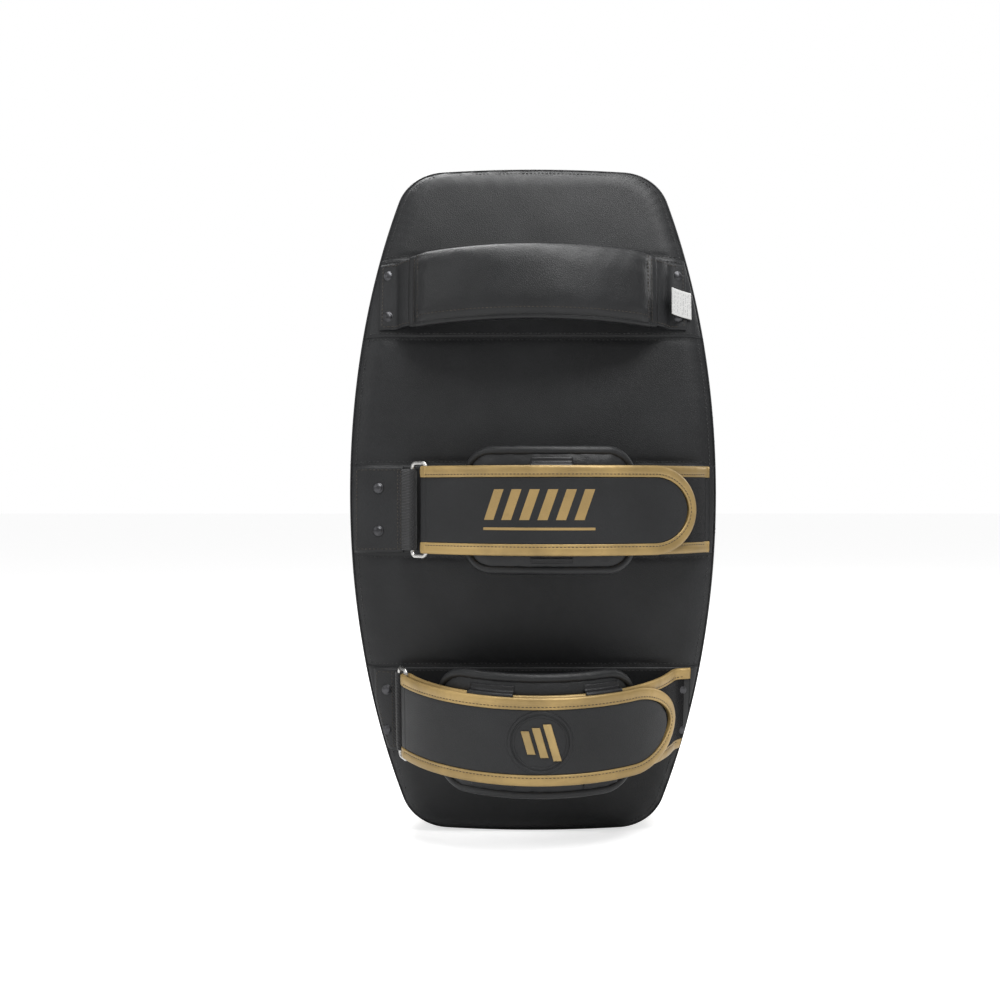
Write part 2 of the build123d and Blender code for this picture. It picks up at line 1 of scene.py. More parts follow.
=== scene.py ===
import math
import bmesh
import bpy
import numpy as np
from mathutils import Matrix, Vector


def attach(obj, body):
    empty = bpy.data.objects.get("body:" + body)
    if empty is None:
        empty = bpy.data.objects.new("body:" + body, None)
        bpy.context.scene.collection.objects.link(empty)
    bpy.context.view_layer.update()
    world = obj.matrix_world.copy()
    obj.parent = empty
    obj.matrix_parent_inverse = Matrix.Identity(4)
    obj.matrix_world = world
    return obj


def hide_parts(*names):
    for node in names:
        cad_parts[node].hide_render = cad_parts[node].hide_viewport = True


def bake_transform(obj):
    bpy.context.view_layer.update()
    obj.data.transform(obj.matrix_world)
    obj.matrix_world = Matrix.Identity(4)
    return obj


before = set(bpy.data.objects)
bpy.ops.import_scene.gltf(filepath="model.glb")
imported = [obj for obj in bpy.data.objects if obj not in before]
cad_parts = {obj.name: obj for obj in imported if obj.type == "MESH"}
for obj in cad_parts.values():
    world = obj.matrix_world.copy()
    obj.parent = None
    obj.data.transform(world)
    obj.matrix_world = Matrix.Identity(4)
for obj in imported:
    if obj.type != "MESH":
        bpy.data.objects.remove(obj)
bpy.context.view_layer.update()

# ---- driving sizes, millimetres and degrees, the same frame as the CAD ----
MM = 0.001
OFF_PRINT = 1000.0  # moves a UV out of the reach of its print
HALF_H = 305.0
MID_Z = 305.81
BACK_R = 1240.0
FRONT_R = 1154.0
SEAM_Y = 23.24
AXIS_Y = SEAM_Y - BACK_R
END_TAN = math.tan(math.asin(HALF_H / BACK_R))
HALF_W = 163.6
SIDE_TOP = (113.5, 299.5)
SIDE_MID = (HALF_W, -10.0)
SIDE_LOW = (109.0, -300.0)
CORNER_R = 44.0
BACK_CROWN = 8.6
STRIKE_CROWN = 25.0
STRIKE_ROLL = 26.0
BAND_T = 1.4
BEND_R = 1250.0
STRAP_HALF = 38.0
STRAP_T = 2.6
GAP = 4.4
BIND_W = 9.6
LEATHER_HALF = STRAP_HALF - BIND_W + 0.8
STRAPS = {
    "upper": dict(angle=-0.4, c=(-23.5, -90.0), R=172.0, bar_x=94.0, tilt=-36.0,
                  foot=(116.0, 160.0), tip=-143.0, root=136.0, root_out=-157.5,
                  cuff=(-88.0, 60.0), keepers=((-34.0, 3.0),), rivets=(137.5, -149.0)),
    "lower": dict(angle=-8.7, c=(-5.0, -34.0), R=138.0, bar_x=112.0, tilt=-62.0,
                  foot=(122.0, 143.0), tip=-126.0, root=153.0, root_out=-141.5,
                  cuff=(-87.0, 82.0), keepers=((17.0, 56.0), (-76.0, -45.0)),
                  rivets=(131.2, -133.0)),
}
GRIP_A = 8.4
GRIP_C = (0.0, -144.0)
GRIP_R = 202.0
GRIP_L = 110.0
STRAP_REST = 10.2
GRIP_REST = 10.1
WEBBING_REST = 10.4
RING_REACH = 15.5
PILE = 1.4
LABEL = (28.0, 24.5, 0.45)
CLOSURE_R = 1197.0
LACE_PITCH = 26.0
LACE_TOP = 132.0
FACING_TOP = 166.0
SEAM_PITCH = 3.6


# ---- camera, floor and light ----
def make_camera():
    data = bpy.data.cameras.new("camera")
    data.lens = 50.0
    data.sensor_width = 36.0
    data.shift_x = -0.033
    cam = bpy.data.objects.new("camera", data)
    cam.location = (0.0, 1.272, 0.3055)
    cam.rotation_euler = (math.radians(90), 0, math.radians(180))
    bpy.context.scene.collection.objects.link(cam)
    bpy.context.scene.camera = cam


def make_floor():
    me = bpy.data.meshes.new("floor")
    s = 30.0
    me.from_pydata([(-s, -s, 0), (s, -s, 0), (s, s, 0), (-s, s, 0)], [], [(0, 1, 2, 3)])
    ob = bpy.data.objects.new("floor", me)
    bpy.context.scene.collection.objects.link(ob)
    mat = bpy.data.materials.new("floor_pale")
    mat.use_nodes = True
    bsdf = mat.node_tree.nodes["Principled BSDF"]
    bsdf.inputs["Base Color"].default_value = (0.8, 0.8, 0.8, 1)
    bsdf.inputs["Roughness"].default_value = 0.9
    bsdf.inputs["Emission Color"].default_value = (1, 1, 1, 1)
    path = mat.node_tree.nodes.new("ShaderNodeLightPath")
    lift = mat.node_tree.nodes.new("ShaderNodeMath")
    lift.operation = "MULTIPLY"
    lift.inputs[1].default_value = 0.62
    mat.node_tree.links.new(path.outputs["Is Camera Ray"], lift.inputs[0])
    mat.node_tree.links.new(lift.outputs[0], bsdf.inputs["Emission Strength"])
    me.materials.append(mat)


def make_lights():
    world = bpy.data.worlds.new("studio")
    bpy.context.scene.world = world
    world.use_nodes = True
    nt = world.node_tree
    bg = nt.nodes["Background"]
    bg.inputs[0].default_value = (1, 1, 1, 1)
    path = nt.nodes.new("ShaderNodeLightPath")
    mix = nt.nodes.new("ShaderNodeMix")
    mix.data_type = "FLOAT"
    mix.inputs[2].default_value = 0.42
    mix.inputs[3].default_value = 1.0
    nt.links.new(path.outputs["Is Camera Ray"], mix.inputs[0])
    nt.links.new(mix.outputs[0], bg.inputs[1])
    for name, loc, size, power in (
        ("key_back", (-0.7, 1.5, 2.4), 1.0, 40),
        ("fill_back", (1.9, 1.3, 1.3), 1.2, 9),
        ("key_front", (0.7, -1.6, 2.4), 1.0, 40),
        ("fill_front", (-1.9, -1.3, 1.3), 1.2, 9),
        ("top", (0.0, 0.1, 2.2), 1.2, 26),
    ):
        data = bpy.data.lights.new(name, "AREA")
        data.shape = "DISK"
        data.size = size
        data.energy = power
        ob = bpy.data.objects.new(name, data)
        ob.location = loc
        ob.rotation_euler = (Vector((0, 0, 0.3)) - Vector(loc)).to_track_quat("-Z", "Y").to_euler()
        bpy.context.scene.collection.objects.link(ob)


make_camera()
make_floor()
make_lights()
bpy.context.scene.view_settings.view_transform = "Standard"


# ---- node helpers ----
class Nodes:
    """A small wrapper that builds shader nodes with plain expressions."""

    def __init__(self, name):
        self.mat = bpy.data.materials.new(name)
        self.mat.use_nodes = True
        self.nt = self.mat.node_tree
        self.bsdf = self.nt.nodes["Principled BSDF"]

    def new(self, kind, **props):
        node = self.nt.nodes.new(kind)
        for key, value in props.items():
            setattr(node, key, value)
        return node

    def put(self, value, socket):
        if isinstance(value, bpy.types.NodeSocket):
            self.nt.links.new(value, socket)
        else:
            socket.default_value = value

    def math(self, op, a, b=0.0, c=0.0):
        node = self.new("ShaderNodeMath", operation=op)
        for value, socket in zip((a, b, c), node.inputs):
            self.put(value, socket)
        return node.outputs[0]

    def mix(self, factor, a, b):
        node = self.new("ShaderNodeMix", data_type="RGBA")
        self.put(factor, node.inputs[0])
        self.put(a, node.inputs[6])
        self.put(b, node.inputs[7])
        return node.outputs[2]

    def ramp(self, value, low, high, out_low=0.0, out_high=1.0):
        node = self.new("ShaderNodeMapRange", interpolation_type="SMOOTHSTEP")
        for v, socket in zip((value, low, high, out_low, out_high), node.inputs):
            self.put(v, socket)
        return node.outputs[0]

    def coords(self):
        return self.new("ShaderNodeTexCoord").outputs["Object"]

    def uv(self):
        node = self.new("ShaderNodeUVMap", uv_map="UVMap")
        split = self.new("ShaderNodeSeparateXYZ")
        self.nt.links.new(node.outputs[0], split.inputs[0])
        return split.outputs[0], split.outputs[1]

    def noise(self, scale, detail=3.0, rough=0.55, vector=None):
        node = self.new("ShaderNodeTexNoise")
        self.put(vector if vector is not None else self.coords(), node.inputs["Vector"])
        node.inputs["Scale"].default_value = scale
        node.inputs["Detail"].default_value = detail
        node.inputs["Roughness"].default_value = rough
        return node.outputs["Fac"]

    def cells(self, scale, feature="DISTANCE_TO_EDGE", vector=None):
        node = self.new("ShaderNodeTexVoronoi", feature=feature)
        self.put(vector if vector is not None else self.coords(), node.inputs["Vector"])
        node.inputs["Scale"].default_value = scale
        return node.outputs["Distance"]

    def bump(self, height, distance, strength=1.0, normal=None):
        node = self.new("ShaderNodeBump")
        node.inputs["Strength"].default_value = strength
        node.inputs["Distance"].default_value = distance
        self.nt.links.new(height, node.inputs["Height"])
        if normal is not None:
            self.nt.links.new(normal, node.inputs["Normal"])
        return node.outputs[0]

    def finish(self, color, rough, normal=None, **sockets):
        self.put(color, self.bsdf.inputs["Base Color"])
        self.put(rough, self.bsdf.inputs["Roughness"])
        if normal is not None:
            self.nt.links.new(normal, self.bsdf.inputs["Normal"])
        for key, value in sockets.items():
            self.bsdf.inputs[key.replace("_", " ")].default_value = value
        return self.mat


INK = (0.35, 0.235, 0.088, 1)


def dimmed(colour, share):
    """A colour made darker or lighter, at most white."""
    return tuple(min(1.0, c * share) for c in colour[:3]) + (1,)


def slanted_box(n, u, v, cx, cy, w, h, slant=0.0):
    """How far a point is outside a leaning parallelogram centred at (cx, cy), in metres."""
    x = n.math("SUBTRACT", u, cx)
    y = n.math("SUBTRACT", v, cy)
    x = n.math("SUBTRACT", x, n.math("MULTIPLY", y, slant))
    dx = n.math("SUBTRACT", n.math("ABSOLUTE", x), w / 2)
    dy = n.math("SUBTRACT", n.math("ABSOLUTE", y), h / 2)
    return n.math("MAXIMUM", dx, dy)


def leather(name, base, rough=0.46, prints=None, grooves=None):
    """Coated leather: fine grain, soft mottling, optional gold prints and debossed lines, their grooves
    painted near black as shade.
    """
    n = Nodes(name)
    grain_cells = n.cells(620.0)
    fine = n.noise(2600.0, 2.0)
    cloud = n.noise(9.0, 4.0)
    scuff = n.noise(46.0, 6.0, 0.7)
    pebble = n.ramp(grain_cells, 0.0, 0.22)
    dark = dimmed(base, 0.74)
    light = dimmed(base, 1.28)
    color = n.mix(n.ramp(cloud, 0.35, 0.65), dark, light)
    color = n.mix(n.math("MULTIPLY", n.math("SUBTRACT", 1.0, pebble), 0.35), color, dark)
    shine = n.math("ADD", rough, n.math("MULTIPLY", n.math("SUBTRACT", scuff, 0.5), 0.16))
    height = n.math("ADD", n.math("MULTIPLY", pebble, 0.6), n.math("MULTIPLY", fine, 0.5))
    normal = n.bump(height, 0.00011)
    if prints or grooves:
        u, v = n.uv()
    if grooves:
        depth = grooves(n, u, v)
        normal = n.bump(depth, 0.0012, 1.0, normal)
        # painted shade: the grooves are painted near black on top of their bump, as shade in the recess
        groove_shade_colour = (0.003, 0.003, 0.0035, 1)
        color = n.mix(n.math("MULTIPLY", n.math("SUBTRACT", 1.0, depth), 0.85), color, groove_shade_colour)
    if prints:
        mask = prints(n, u, v)
        worn = n.ramp(n.noise(160.0, 5.0, 0.7), 0.30, 0.42)
        ink = n.mix(n.ramp(n.noise(30.0), 0.3, 0.7), dimmed(INK, 0.86), INK)
        mask = n.math("MULTIPLY", mask, n.math("ADD", n.math("MULTIPLY", worn, 0.12), 0.88))
        color = n.mix(mask, color, ink)
        shine = n.math("ADD", shine, n.math("MULTIPLY", mask, -0.04))
        normal = n.bump(mask, 0.00012, 1.0, normal)
    return n.finish(color, shine, normal, Specular_IOR_Level=0.38)


def gold_tape(name, tint=(0.36, 0.245, 0.092)):
    """Satin gold binding tape with soft creases across it, darkened along the crease pattern as painted
    shade.
    """
    n = Nodes(name)
    cloud = n.noise(24.0, 4.0)
    fine = n.noise(900.0, 3.0)
    crease_and_shade = n.noise(210.0, 4.0, 0.6)
    a = dimmed(tint, 0.78)
    b = dimmed(tint, 1.22)
    color = n.mix(n.ramp(cloud, 0.3, 0.7), a, b)
    # painted shade: the tape is painted darker where the wrinkle noise is high, as shade in its creases
    color = n.mix(n.math("MULTIPLY", n.ramp(crease_and_shade, 0.52, 0.7), 0.25), color, a)
    shine = n.math("ADD", 0.36, n.math("MULTIPLY", cloud, 0.14))
    height = n.math("ADD", n.math("MULTIPLY", crease_and_shade, 0.7), n.math("MULTIPLY", fine, 0.3))
    return n.finish(color, shine, n.bump(height, 0.00022), Metallic=0.35, Specular_IOR_Level=0.55)


def woven(name, base, scale=1100.0):
    """Flat woven tape: crossing threads from two wave patterns."""
    n = Nodes(name)
    split = n.new("ShaderNodeSeparateXYZ")
    n.nt.links.new(n.coords(), split.inputs[0])
    level = n.math("ADD", split.outputs[0], split.outputs[1])
    along = n.math("SINE", n.math("MULTIPLY", level, scale * 2.2))
    cross = n.math("SINE", n.math("MULTIPLY", split.outputs[2], scale * 2.2))
    weave = n.math("MULTIPLY", along, cross)
    fuzz = n.noise(3200.0, 2.0)
    cloud = n.noise(20.0, 3.0)
    dark = dimmed(base, 0.55)
    light = dimmed(base, 1.5)
    tone = n.math("ADD", weave, n.math("MULTIPLY", cloud, 0.4))
    color = n.mix(n.ramp(tone, -0.9, 1.1), dark, light)
    height = n.math("ADD", weave, n.math("MULTIPLY", fuzz, 0.6))
    return n.finish(color, 0.82, n.bump(height, 0.0002), Sheen_Weight=0.25, Sheen_Roughness=0.5)


def fuzzy(name, base, scale=1500.0):
    """Short looped pile of a closure tape."""
    n = Nodes(name)
    pile = n.cells(scale, "F1")
    cloud = n.noise(60.0, 5.0, 0.7)
    dark = dimmed(base, 0.4)
    color = n.mix(n.ramp(n.math("ADD", pile, n.math("MULTIPLY", cloud, 0.5)), 0.2, 1.0), dark, base)
    height = n.math("ADD", n.math("MULTIPLY", pile, -1.0), n.math("MULTIPLY", cloud, 0.8))
    return n.finish(color, 0.95, n.bump(height, 0.0006), Sheen_Weight=0.08, Sheen_Roughness=0.6,
                    Specular_IOR_Level=0.1)


def metal(name, base, rough):
    """Plated metal with fine scratches."""
    n = Nodes(name)
    scratch = n.noise(700.0, 6.0, 0.75)
    cloud = n.noise(60.0, 3.0)
    dark = dimmed(base, 0.7)
    color = n.mix(n.ramp(cloud, 0.35, 0.7), base, dark)
    shine = n.math("ADD", rough, n.math("MULTIPLY", scratch, 0.18))
    return n.finish(color, shine, n.bump(scratch, 0.00004), Metallic=1.0)


def thread(name, base):
    n = Nodes(name)
    twist = n.noise(2400.0, 2.0)
    color = n.mix(twist, dimmed(base, 0.6), base)
    return n.finish(color, 0.7, n.bump(twist, 0.0001), Sheen_Weight=0.2)


def label_cloth(name):
    """White woven label with faint rows of short marks in place of its print."""
    n = Nodes(name)
    u, v = n.uv()
    row = n.math("ABSOLUTE", n.math("SUBTRACT", n.math("FRACT", n.math("MULTIPLY", u, 420.0)), 0.5))
    words = n.noise(900.0, 1.0)
    ink = n.math("MULTIPLY", n.ramp(row, 0.16, 0.10), n.ramp(words, 0.46, 0.52))
    inside = n.ramp(n.math("ABSOLUTE", v), 0.0105, 0.0098)
    weave = n.noise(3000.0, 2.0)
    marks = n.math("MULTIPLY", n.math("MULTIPLY", ink, inside), 0.75)
    color = n.mix(marks, (0.62, 0.62, 0.61, 1), (0.12, 0.12, 0.13, 1))
    return n.finish(color, 0.8, n.bump(weave, 0.00015))


def foam(name):
    n = Nodes(name)
    pores = n.cells(420.0, "F1")
    color = n.mix(n.ramp(pores, 0.1, 0.8), (0.10, 0.10, 0.105, 1), (0.32, 0.32, 0.33, 1))
    return n.finish(color, 0.95, n.bump(pores, 0.0006), Specular_IOR_Level=0.2)


# ---- prints and pressed lines, in metres on each piece's own UV ----
def union(n, distances):
    out = distances[0]
    for d in distances[1:]:
        out = n.math("MINIMUM", out, d)
    return out


def strike_prints(n, u, v):
    """A gold stripe down from the top seam, cut on the slant, over a stack of slanted blocks."""
    shapes = [slanted_box(n, u, v, 0.022, 0.15, 0.044, 0.40)]
    cut = n.math("SUBTRACT", n.math("ADD", n.math("MULTIPLY", u, 0.55), 0.018), v)
    shapes[0] = n.math("MAXIMUM", shapes[0], cut)
    for k in range(5):
        top = -0.018 - 0.046 * k
        skew = n.math("SUBTRACT", v, n.math("MULTIPLY", u, 0.55))
        upper = n.math("SUBTRACT", skew, top - 0.014)
        lower = n.math("SUBTRACT", top - 0.040, skew)
        column = slanted_box(n, u, v, 0.022, top, 0.044, 0.2)
        shapes.append(n.math("MAXIMUM", n.math("MAXIMUM", upper, lower), column))
    return n.ramp(union(n, shapes), 0.00012, -0.00012)


def strike_grooves(n, u, v):
    """Pressed outlines of slanted plates down both sides of the strike face, used for their bump and
    for painted shade in the grooves.
    """
    lines = []
    for side, slant in ((-1, 0.28), (1, -0.28)):
        for k in range(3):
            cy = 0.168 - 0.172 * k
            for w, h in ((0.078, 0.146), (0.046, 0.112)):
                box = slanted_box(n, u, v, side * 0.093 + 0.006, cy, w, h, slant)
                lines.append(n.math("ABSOLUTE", box))
    return n.ramp(union(n, lines), 0.0007, 0.0017)


def flap_prints(n, u, v):
    """A row of slanted bars over a thin line."""
    shapes = [slanted_box(n, u, v, 0.149 - 0.0155 * k, 0.005, 0.0085, 0.026, 0.35)
              for k in range(6)]
    shapes.append(slanted_box(n, u, v, 0.110, -0.0155, 0.096, 0.0022))
    return n.ramp(union(n, shapes), 0.0001, -0.0001)


def side_prints(n, u, v):
    """Three rising slanted bars on the side band."""
    shapes = [slanted_box(n, u, v, 0.043 + 0.0145 * (k - 1), 0.004 * (k - 1), 0.0085,
                          0.030 + 0.010 * k, 0.3) for k in range(3)]
    return n.ramp(union(n, shapes), 0.0001, -0.0001)


BLACK = (0.0105, 0.0110, 0.0120, 1)
M = {
    "cover": leather("cover_leather_fine", BLACK, 0.47),
    "strike": leather("strike_leather", BLACK, 0.45, strike_prints, strike_grooves),
    "side": leather("side_leather", BLACK, 0.47, side_prints),
    "strap": leather("strap_leather_fine", (0.0120, 0.0125, 0.0135, 1), 0.5),
    "upper_flap": leather("upper_flap_leather", (0.0120, 0.0125, 0.0135, 1), 0.5, flap_prints),
    "cuff": leather("cuff_leather_fine", (0.0125, 0.0130, 0.0140, 1), 0.42),
    "piping": leather("piping_leather_fine", (0.008, 0.008, 0.009, 1), 0.38),
    "gold": gold_tape("gold_binding_tape"),
    "badge": gold_tape("badge_gold", (0.40, 0.28, 0.11)),
    "webbing": woven("black_webbing", (0.010, 0.010, 0.011, 1)),
    "lace": woven("lace_braid", (0.008, 0.008, 0.009, 1), 1700.0),
    "loop": fuzzy("loop_pile", (0.007, 0.007, 0.008, 1)),
    "hook": fuzzy("hook_tape_pile", (0.02, 0.02, 0.02, 1), 900.0),
    "label": label_cloth("label_cloth_fine"),
    "steel": metal("ring_plate", (0.66, 0.65, 0.63, 1), 0.18),
    "rivet": metal("rivet_black_nickel", (0.09, 0.09, 0.095, 1), 0.3),
    "black_thread": thread("black_thread", (0.012, 0.012, 0.012, 1)),
    "dark_thread": thread("dark_thread", (0.030, 0.020, 0.010, 1)),
    "gold_thread": thread("gold_thread", (0.30, 0.20, 0.08, 1)),
    "foam": foam("foam_cells"),
}


# ---- mesh helpers (points in millimetres) ----
def link(me, name, mat, body, cad_slot, replaces=()):
    ob = bpy.data.objects.new(name, me)
    bpy.context.scene.collection.objects.link(ob)
    me.materials.append(M[mat])
    me.polygons.foreach_set("use_smooth", [True] * len(me.polygons))
    if body:
        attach(ob, body)
    if replaces:
        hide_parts(*replaces)
    return ob


def repaint(node, mat):
    """Give a CAD node's object a procedural material."""
    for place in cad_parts[node].material_slots:
        place.material = M[mat]


def mesh_from(points, faces, uv=None):
    me = bpy.data.meshes.new("mesh")
    me.from_pydata((np.asarray(points).reshape(-1, 3) * MM).tolist(), [], faces)
    if uv is not None:
        layer = me.uv_layers.new(name="UVMap")
        idx = np.zeros(len(me.loops), np.int32)
        me.loops.foreach_get("vertex_index", idx)
        layer.data.foreach_set("uv", (np.asarray(uv).reshape(-1, 2)[idx] * MM).ravel())
    me.validate()
    return me


def grid_faces(n, m, wrap_n=False, wrap_m=False, offset=0):
    i = np.arange(n if wrap_n else n - 1)
    j = np.arange(m if wrap_m else m - 1)
    a, b = np.meshgrid(i, j, indexing="ij")
    a2, b2 = (a + 1) % n, (b + 1) % m
    quads = np.stack([a * m + b, a2 * m + b, a2 * m + b2, a * m + b2], -1).reshape(-1, 4) + offset
    return quads.tolist()


def recalc(me, merge=False):
    """Turn a mesh's faces outward, if asked after merging the points that coincide."""
    bm = bmesh.new()
    bm.from_mesh(me)
    if merge:
        bmesh.ops.remove_doubles(bm, verts=bm.verts, dist=0.00002)
        bmesh.ops.dissolve_degenerate(bm, dist=0.00002, edges=bm.edges)
    bmesh.ops.recalc_face_normals(bm, faces=bm.faces)
    bm.to_mesh(me)
    bm.free()


def tube_faces(n, m, closed):
    """Faces of a swept closed section, with end caps when the sweep is open."""
    faces = grid_faces(n, m, closed, True)
    if not closed:
        faces.append(list(range(m - 1, -1, -1)))
        faces.append([(n - 1) * m + k for k in range(m)])
    return faces


def waves(u, v, seed, base, octaves=4):
    """Smooth repeatable noise between about -1 and 1, for arrays in millimetres."""
    r = np.random.default_rng(seed)
    out = np.zeros(np.broadcast(u, v).shape)
    total = 0.0
    for k in range(octaves):
        for _ in range(4):
            ang = r.uniform(0, 2 * math.pi)
            f = 2 * math.pi / base * 1.9 ** k * r.uniform(0.7, 1.3)
            out += np.sin(f * (u * math.cos(ang) + v * math.sin(ang)) + r.uniform(0, 6.28)) * 0.6 ** k
        total += 2.2 * 0.6 ** k
    return out / total


# ---- the pad's outline ----
def circle3(p, q, r):
    ax, ay, bx, by, cx, cy = *p, *q, *r
    d = 2 * (ax * (by - cy) + bx * (cy - ay) + cx * (ay - by))
    ux = ((ax**2 + ay**2) * (by - cy) + (bx**2 + by**2) * (cy - ay) + (cx**2 + cy**2) * (ay - by)) / d
    uy = ((ax**2 + ay**2) * (cx - bx) + (bx**2 + by**2) * (ax - cx) + (cx**2 + cy**2) * (bx - ax)) / d
    return (ux, uy), math.hypot(ax - ux, ay - uy)


def inner_meet(c1, r1, c2, r2, near):
    """Crossing of two circles nearest a point."""
    d = math.hypot(c2[0] - c1[0], c2[1] - c1[1])
    a = (r1 * r1 - r2 * r2 + d * d) / (2 * d)
    h = math.sqrt(max(r1 * r1 - a * a, 0))
    mx, my = c1[0] + a * (c2[0] - c1[0]) / d, c1[1] + a * (c2[1] - c1[1]) / d
    cand = [(mx + s * h * (c2[1] - c1[1]) / d, my - s * h * (c2[0] - c1[0]) / d) for s in (1, -1)]
    return min(cand, key=lambda p: math.hypot(p[0] - near[0], p[1] - near[1]))


def arc_between(c, r, p, q, n=60):
    a0 = math.atan2(p[1] - c[1], p[0] - c[0])
    a1 = math.atan2(q[1] - c[1], q[0] - c[0])
    if a1 - a0 > math.pi:
        a1 -= 2 * math.pi
    if a0 - a1 > math.pi:
        a1 += 2 * math.pi
    t = np.linspace(a0, a1, n)
    return np.stack([c[0] + r * np.cos(t), c[1] + r * np.sin(t)], 1)


def toward(c, r, p):
    d = math.hypot(p[0] - c[0], p[1] - c[1])
    return c[0] + (p[0] - c[0]) * r / d, c[1] + (p[1] - c[1]) * r / d


def pad_outline(count):
    """Evenly spaced points round the outline, from the bottom centre up the +X side."""
    side_c, side_r = circle3(SIDE_TOP, SIDE_MID, SIDE_LOW)
    pieces = []
    low_c, low_r = circle3(SIDE_LOW, (0, -HALF_H), (-SIDE_LOW[0], SIDE_LOW[1]))
    top_c, top_r = circle3(SIDE_TOP, (0, HALF_H), (-SIDE_TOP[0], SIDE_TOP[1]))
    f_low = inner_meet(side_c, side_r - CORNER_R, low_c, low_r - CORNER_R, (70, -255))
    f_top = inner_meet(side_c, side_r - CORNER_R, top_c, top_r - CORNER_R, (70, 255))
    t1, t2 = toward(low_c, low_r, f_low), toward(side_c, side_r, f_low)
    t3, t4 = toward(side_c, side_r, f_top), toward(top_c, top_r, f_top)
    pieces.append(arc_between(low_c, low_r, (0, -HALF_H), t1))
    pieces.append(arc_between(f_low, CORNER_R, t1, t2))
    pieces.append(arc_between(side_c, side_r, t2, t3, 200))
    pieces.append(arc_between(f_top, CORNER_R, t3, t4))
    pieces.append(arc_between(top_c, top_r, t4, (0, HALF_H)))
    right = np.concatenate([p if k == 0 else p[1:] for k, p in enumerate(pieces)])
    left = right[::-1][1:-1] * np.array([-1, 1])
    loop = np.concatenate([right, left])
    return resample(loop, count, True)


def resample(points, count, closed=False):
    pts = np.asarray(points, float)
    if closed:
        pts = np.concatenate([pts, pts[:1]])
    seg = np.linalg.norm(np.diff(pts, axis=0), axis=1)
    s = np.concatenate([[0], np.cumsum(seg)])
    t = np.linspace(0, s[-1], count, endpoint=not closed)
    return np.stack([np.interp(t, s, pts[:, k]) for k in range(pts.shape[1])], 1)


def pad_point(x, zeta, r):
    """Place on the bent pad: x across, zeta up the back outline, r from the bend axis."""
    a = np.arctan(END_TAN * zeta / HALF_H)
    return np.stack([x + 0 * a, AXIS_Y + r * np.cos(a), MID_Z + r * np.sin(a)], -1)


N_RIM = 840
rim = pad_outline(N_RIM)
rim_step = np.linalg.norm(np.roll(rim, -1, 0) - rim, axis=1).mean()
rim_dir = np.roll(rim, -1, 0) - np.roll(rim, 1, 0)
rim_dir /= np.linalg.norm(rim_dir, axis=1)[:, None]
rim_out = np.stack([rim_dir[:, 1], -rim_dir[:, 0]], 1)
rim_s = np.arange(N_RIM) * rim_step


def half_width(zeta):
    """Half the pad's width at a height on its outline."""
    right = rim[: N_RIM // 2]
    return np.interp(zeta, right[:, 1], right[:, 0])


def edge_gap(x, zeta):
    """Distance in from the outline, good enough near the sides."""
    return np.minimum(half_width(zeta) - np.abs(x), HALF_H - np.abs(zeta))


def back_rise(d):
    """Height of the back panel above its seam at a distance in from the edge."""
    t = np.clip(d / 24.0, 0, 1)
    return BACK_CROWN * (1 - (1 - t) ** 2.6)


def panel(name, mat, radius_of, rings, cad_slot, replaces):
    """A panel filled with rings that close in on the pad's middle line."""
    t = np.linspace(0, 1, rings) ** 0.75
    core = np.stack([np.zeros(N_RIM), np.clip(rim[:, 1], -190, 190)], 1)
    flat = core[:, None] + (rim - core)[:, None] * t[None, :, None]
    reach = np.linalg.norm(rim - core, axis=1)[:, None]
    d = (1 - t)[None, :] * reach
    x, zeta = flat[..., 0], flat[..., 1]
    r = radius_of(x, zeta, d, rim_s[:, None])
    pts = pad_point(x, zeta, r)
    me = mesh_from(pts, grid_faces(N_RIM, rings, True), np.stack([x, zeta], -1))
    recalc(me, merge=True)
    return link(me, name, mat, "pad", cad_slot, replaces)


BAND_LINES = [(GRIP_A, 36.5), (STRAPS["upper"]["angle"], 40.0), (STRAPS["lower"]["angle"], 39.5)]


def band_zeta(angle, offset):
    return HALF_H * math.tan(math.radians(angle) + offset / BEND_R) / END_TAN


def back_radius(x, zeta, d, s):
    rise = back_rise(d)
    pucker = np.exp(-d / 9.0) * (1 - np.exp(-d / 1.5))
    rise = rise + pucker * 0.55 * waves(s, d * 0.4, 3, 16.0, 3)
    inside = 1 - np.exp(-d / 14.0)
    rise = rise + inside * 0.7 * waves(x, zeta, 5, 190.0, 3)
    for angle, half in BAND_LINES:
        for off in (-half - 2.4, half + 2.4):
            line = np.exp(-((zeta - band_zeta(angle, off)) / 3.0) ** 2)
            rise = rise - 0.75 * line * inside * (1 + 0.35 * waves(x, zeta, 9, 17.0, 2))
    return BACK_R + rise


def strike_radius(x, zeta, d, s):
    roll = np.sqrt(np.clip(1 - (1 - np.clip(d / STRIKE_ROLL, 0, 1)) ** 2, 0, 1))
    drop = STRIKE_CROWN * roll
    pucker = np.exp(-d / 10.0) * (1 - np.exp(-d / 1.5))
    drop = drop + pucker * 0.7 * waves(s, d * 0.4, 13, 18.0, 3)
    inside = 1 - np.exp(-d / 30.0)
    drop = drop + inside * 0.9 * waves(x, zeta, 15, 210.0, 3)
    return FRONT_R - drop


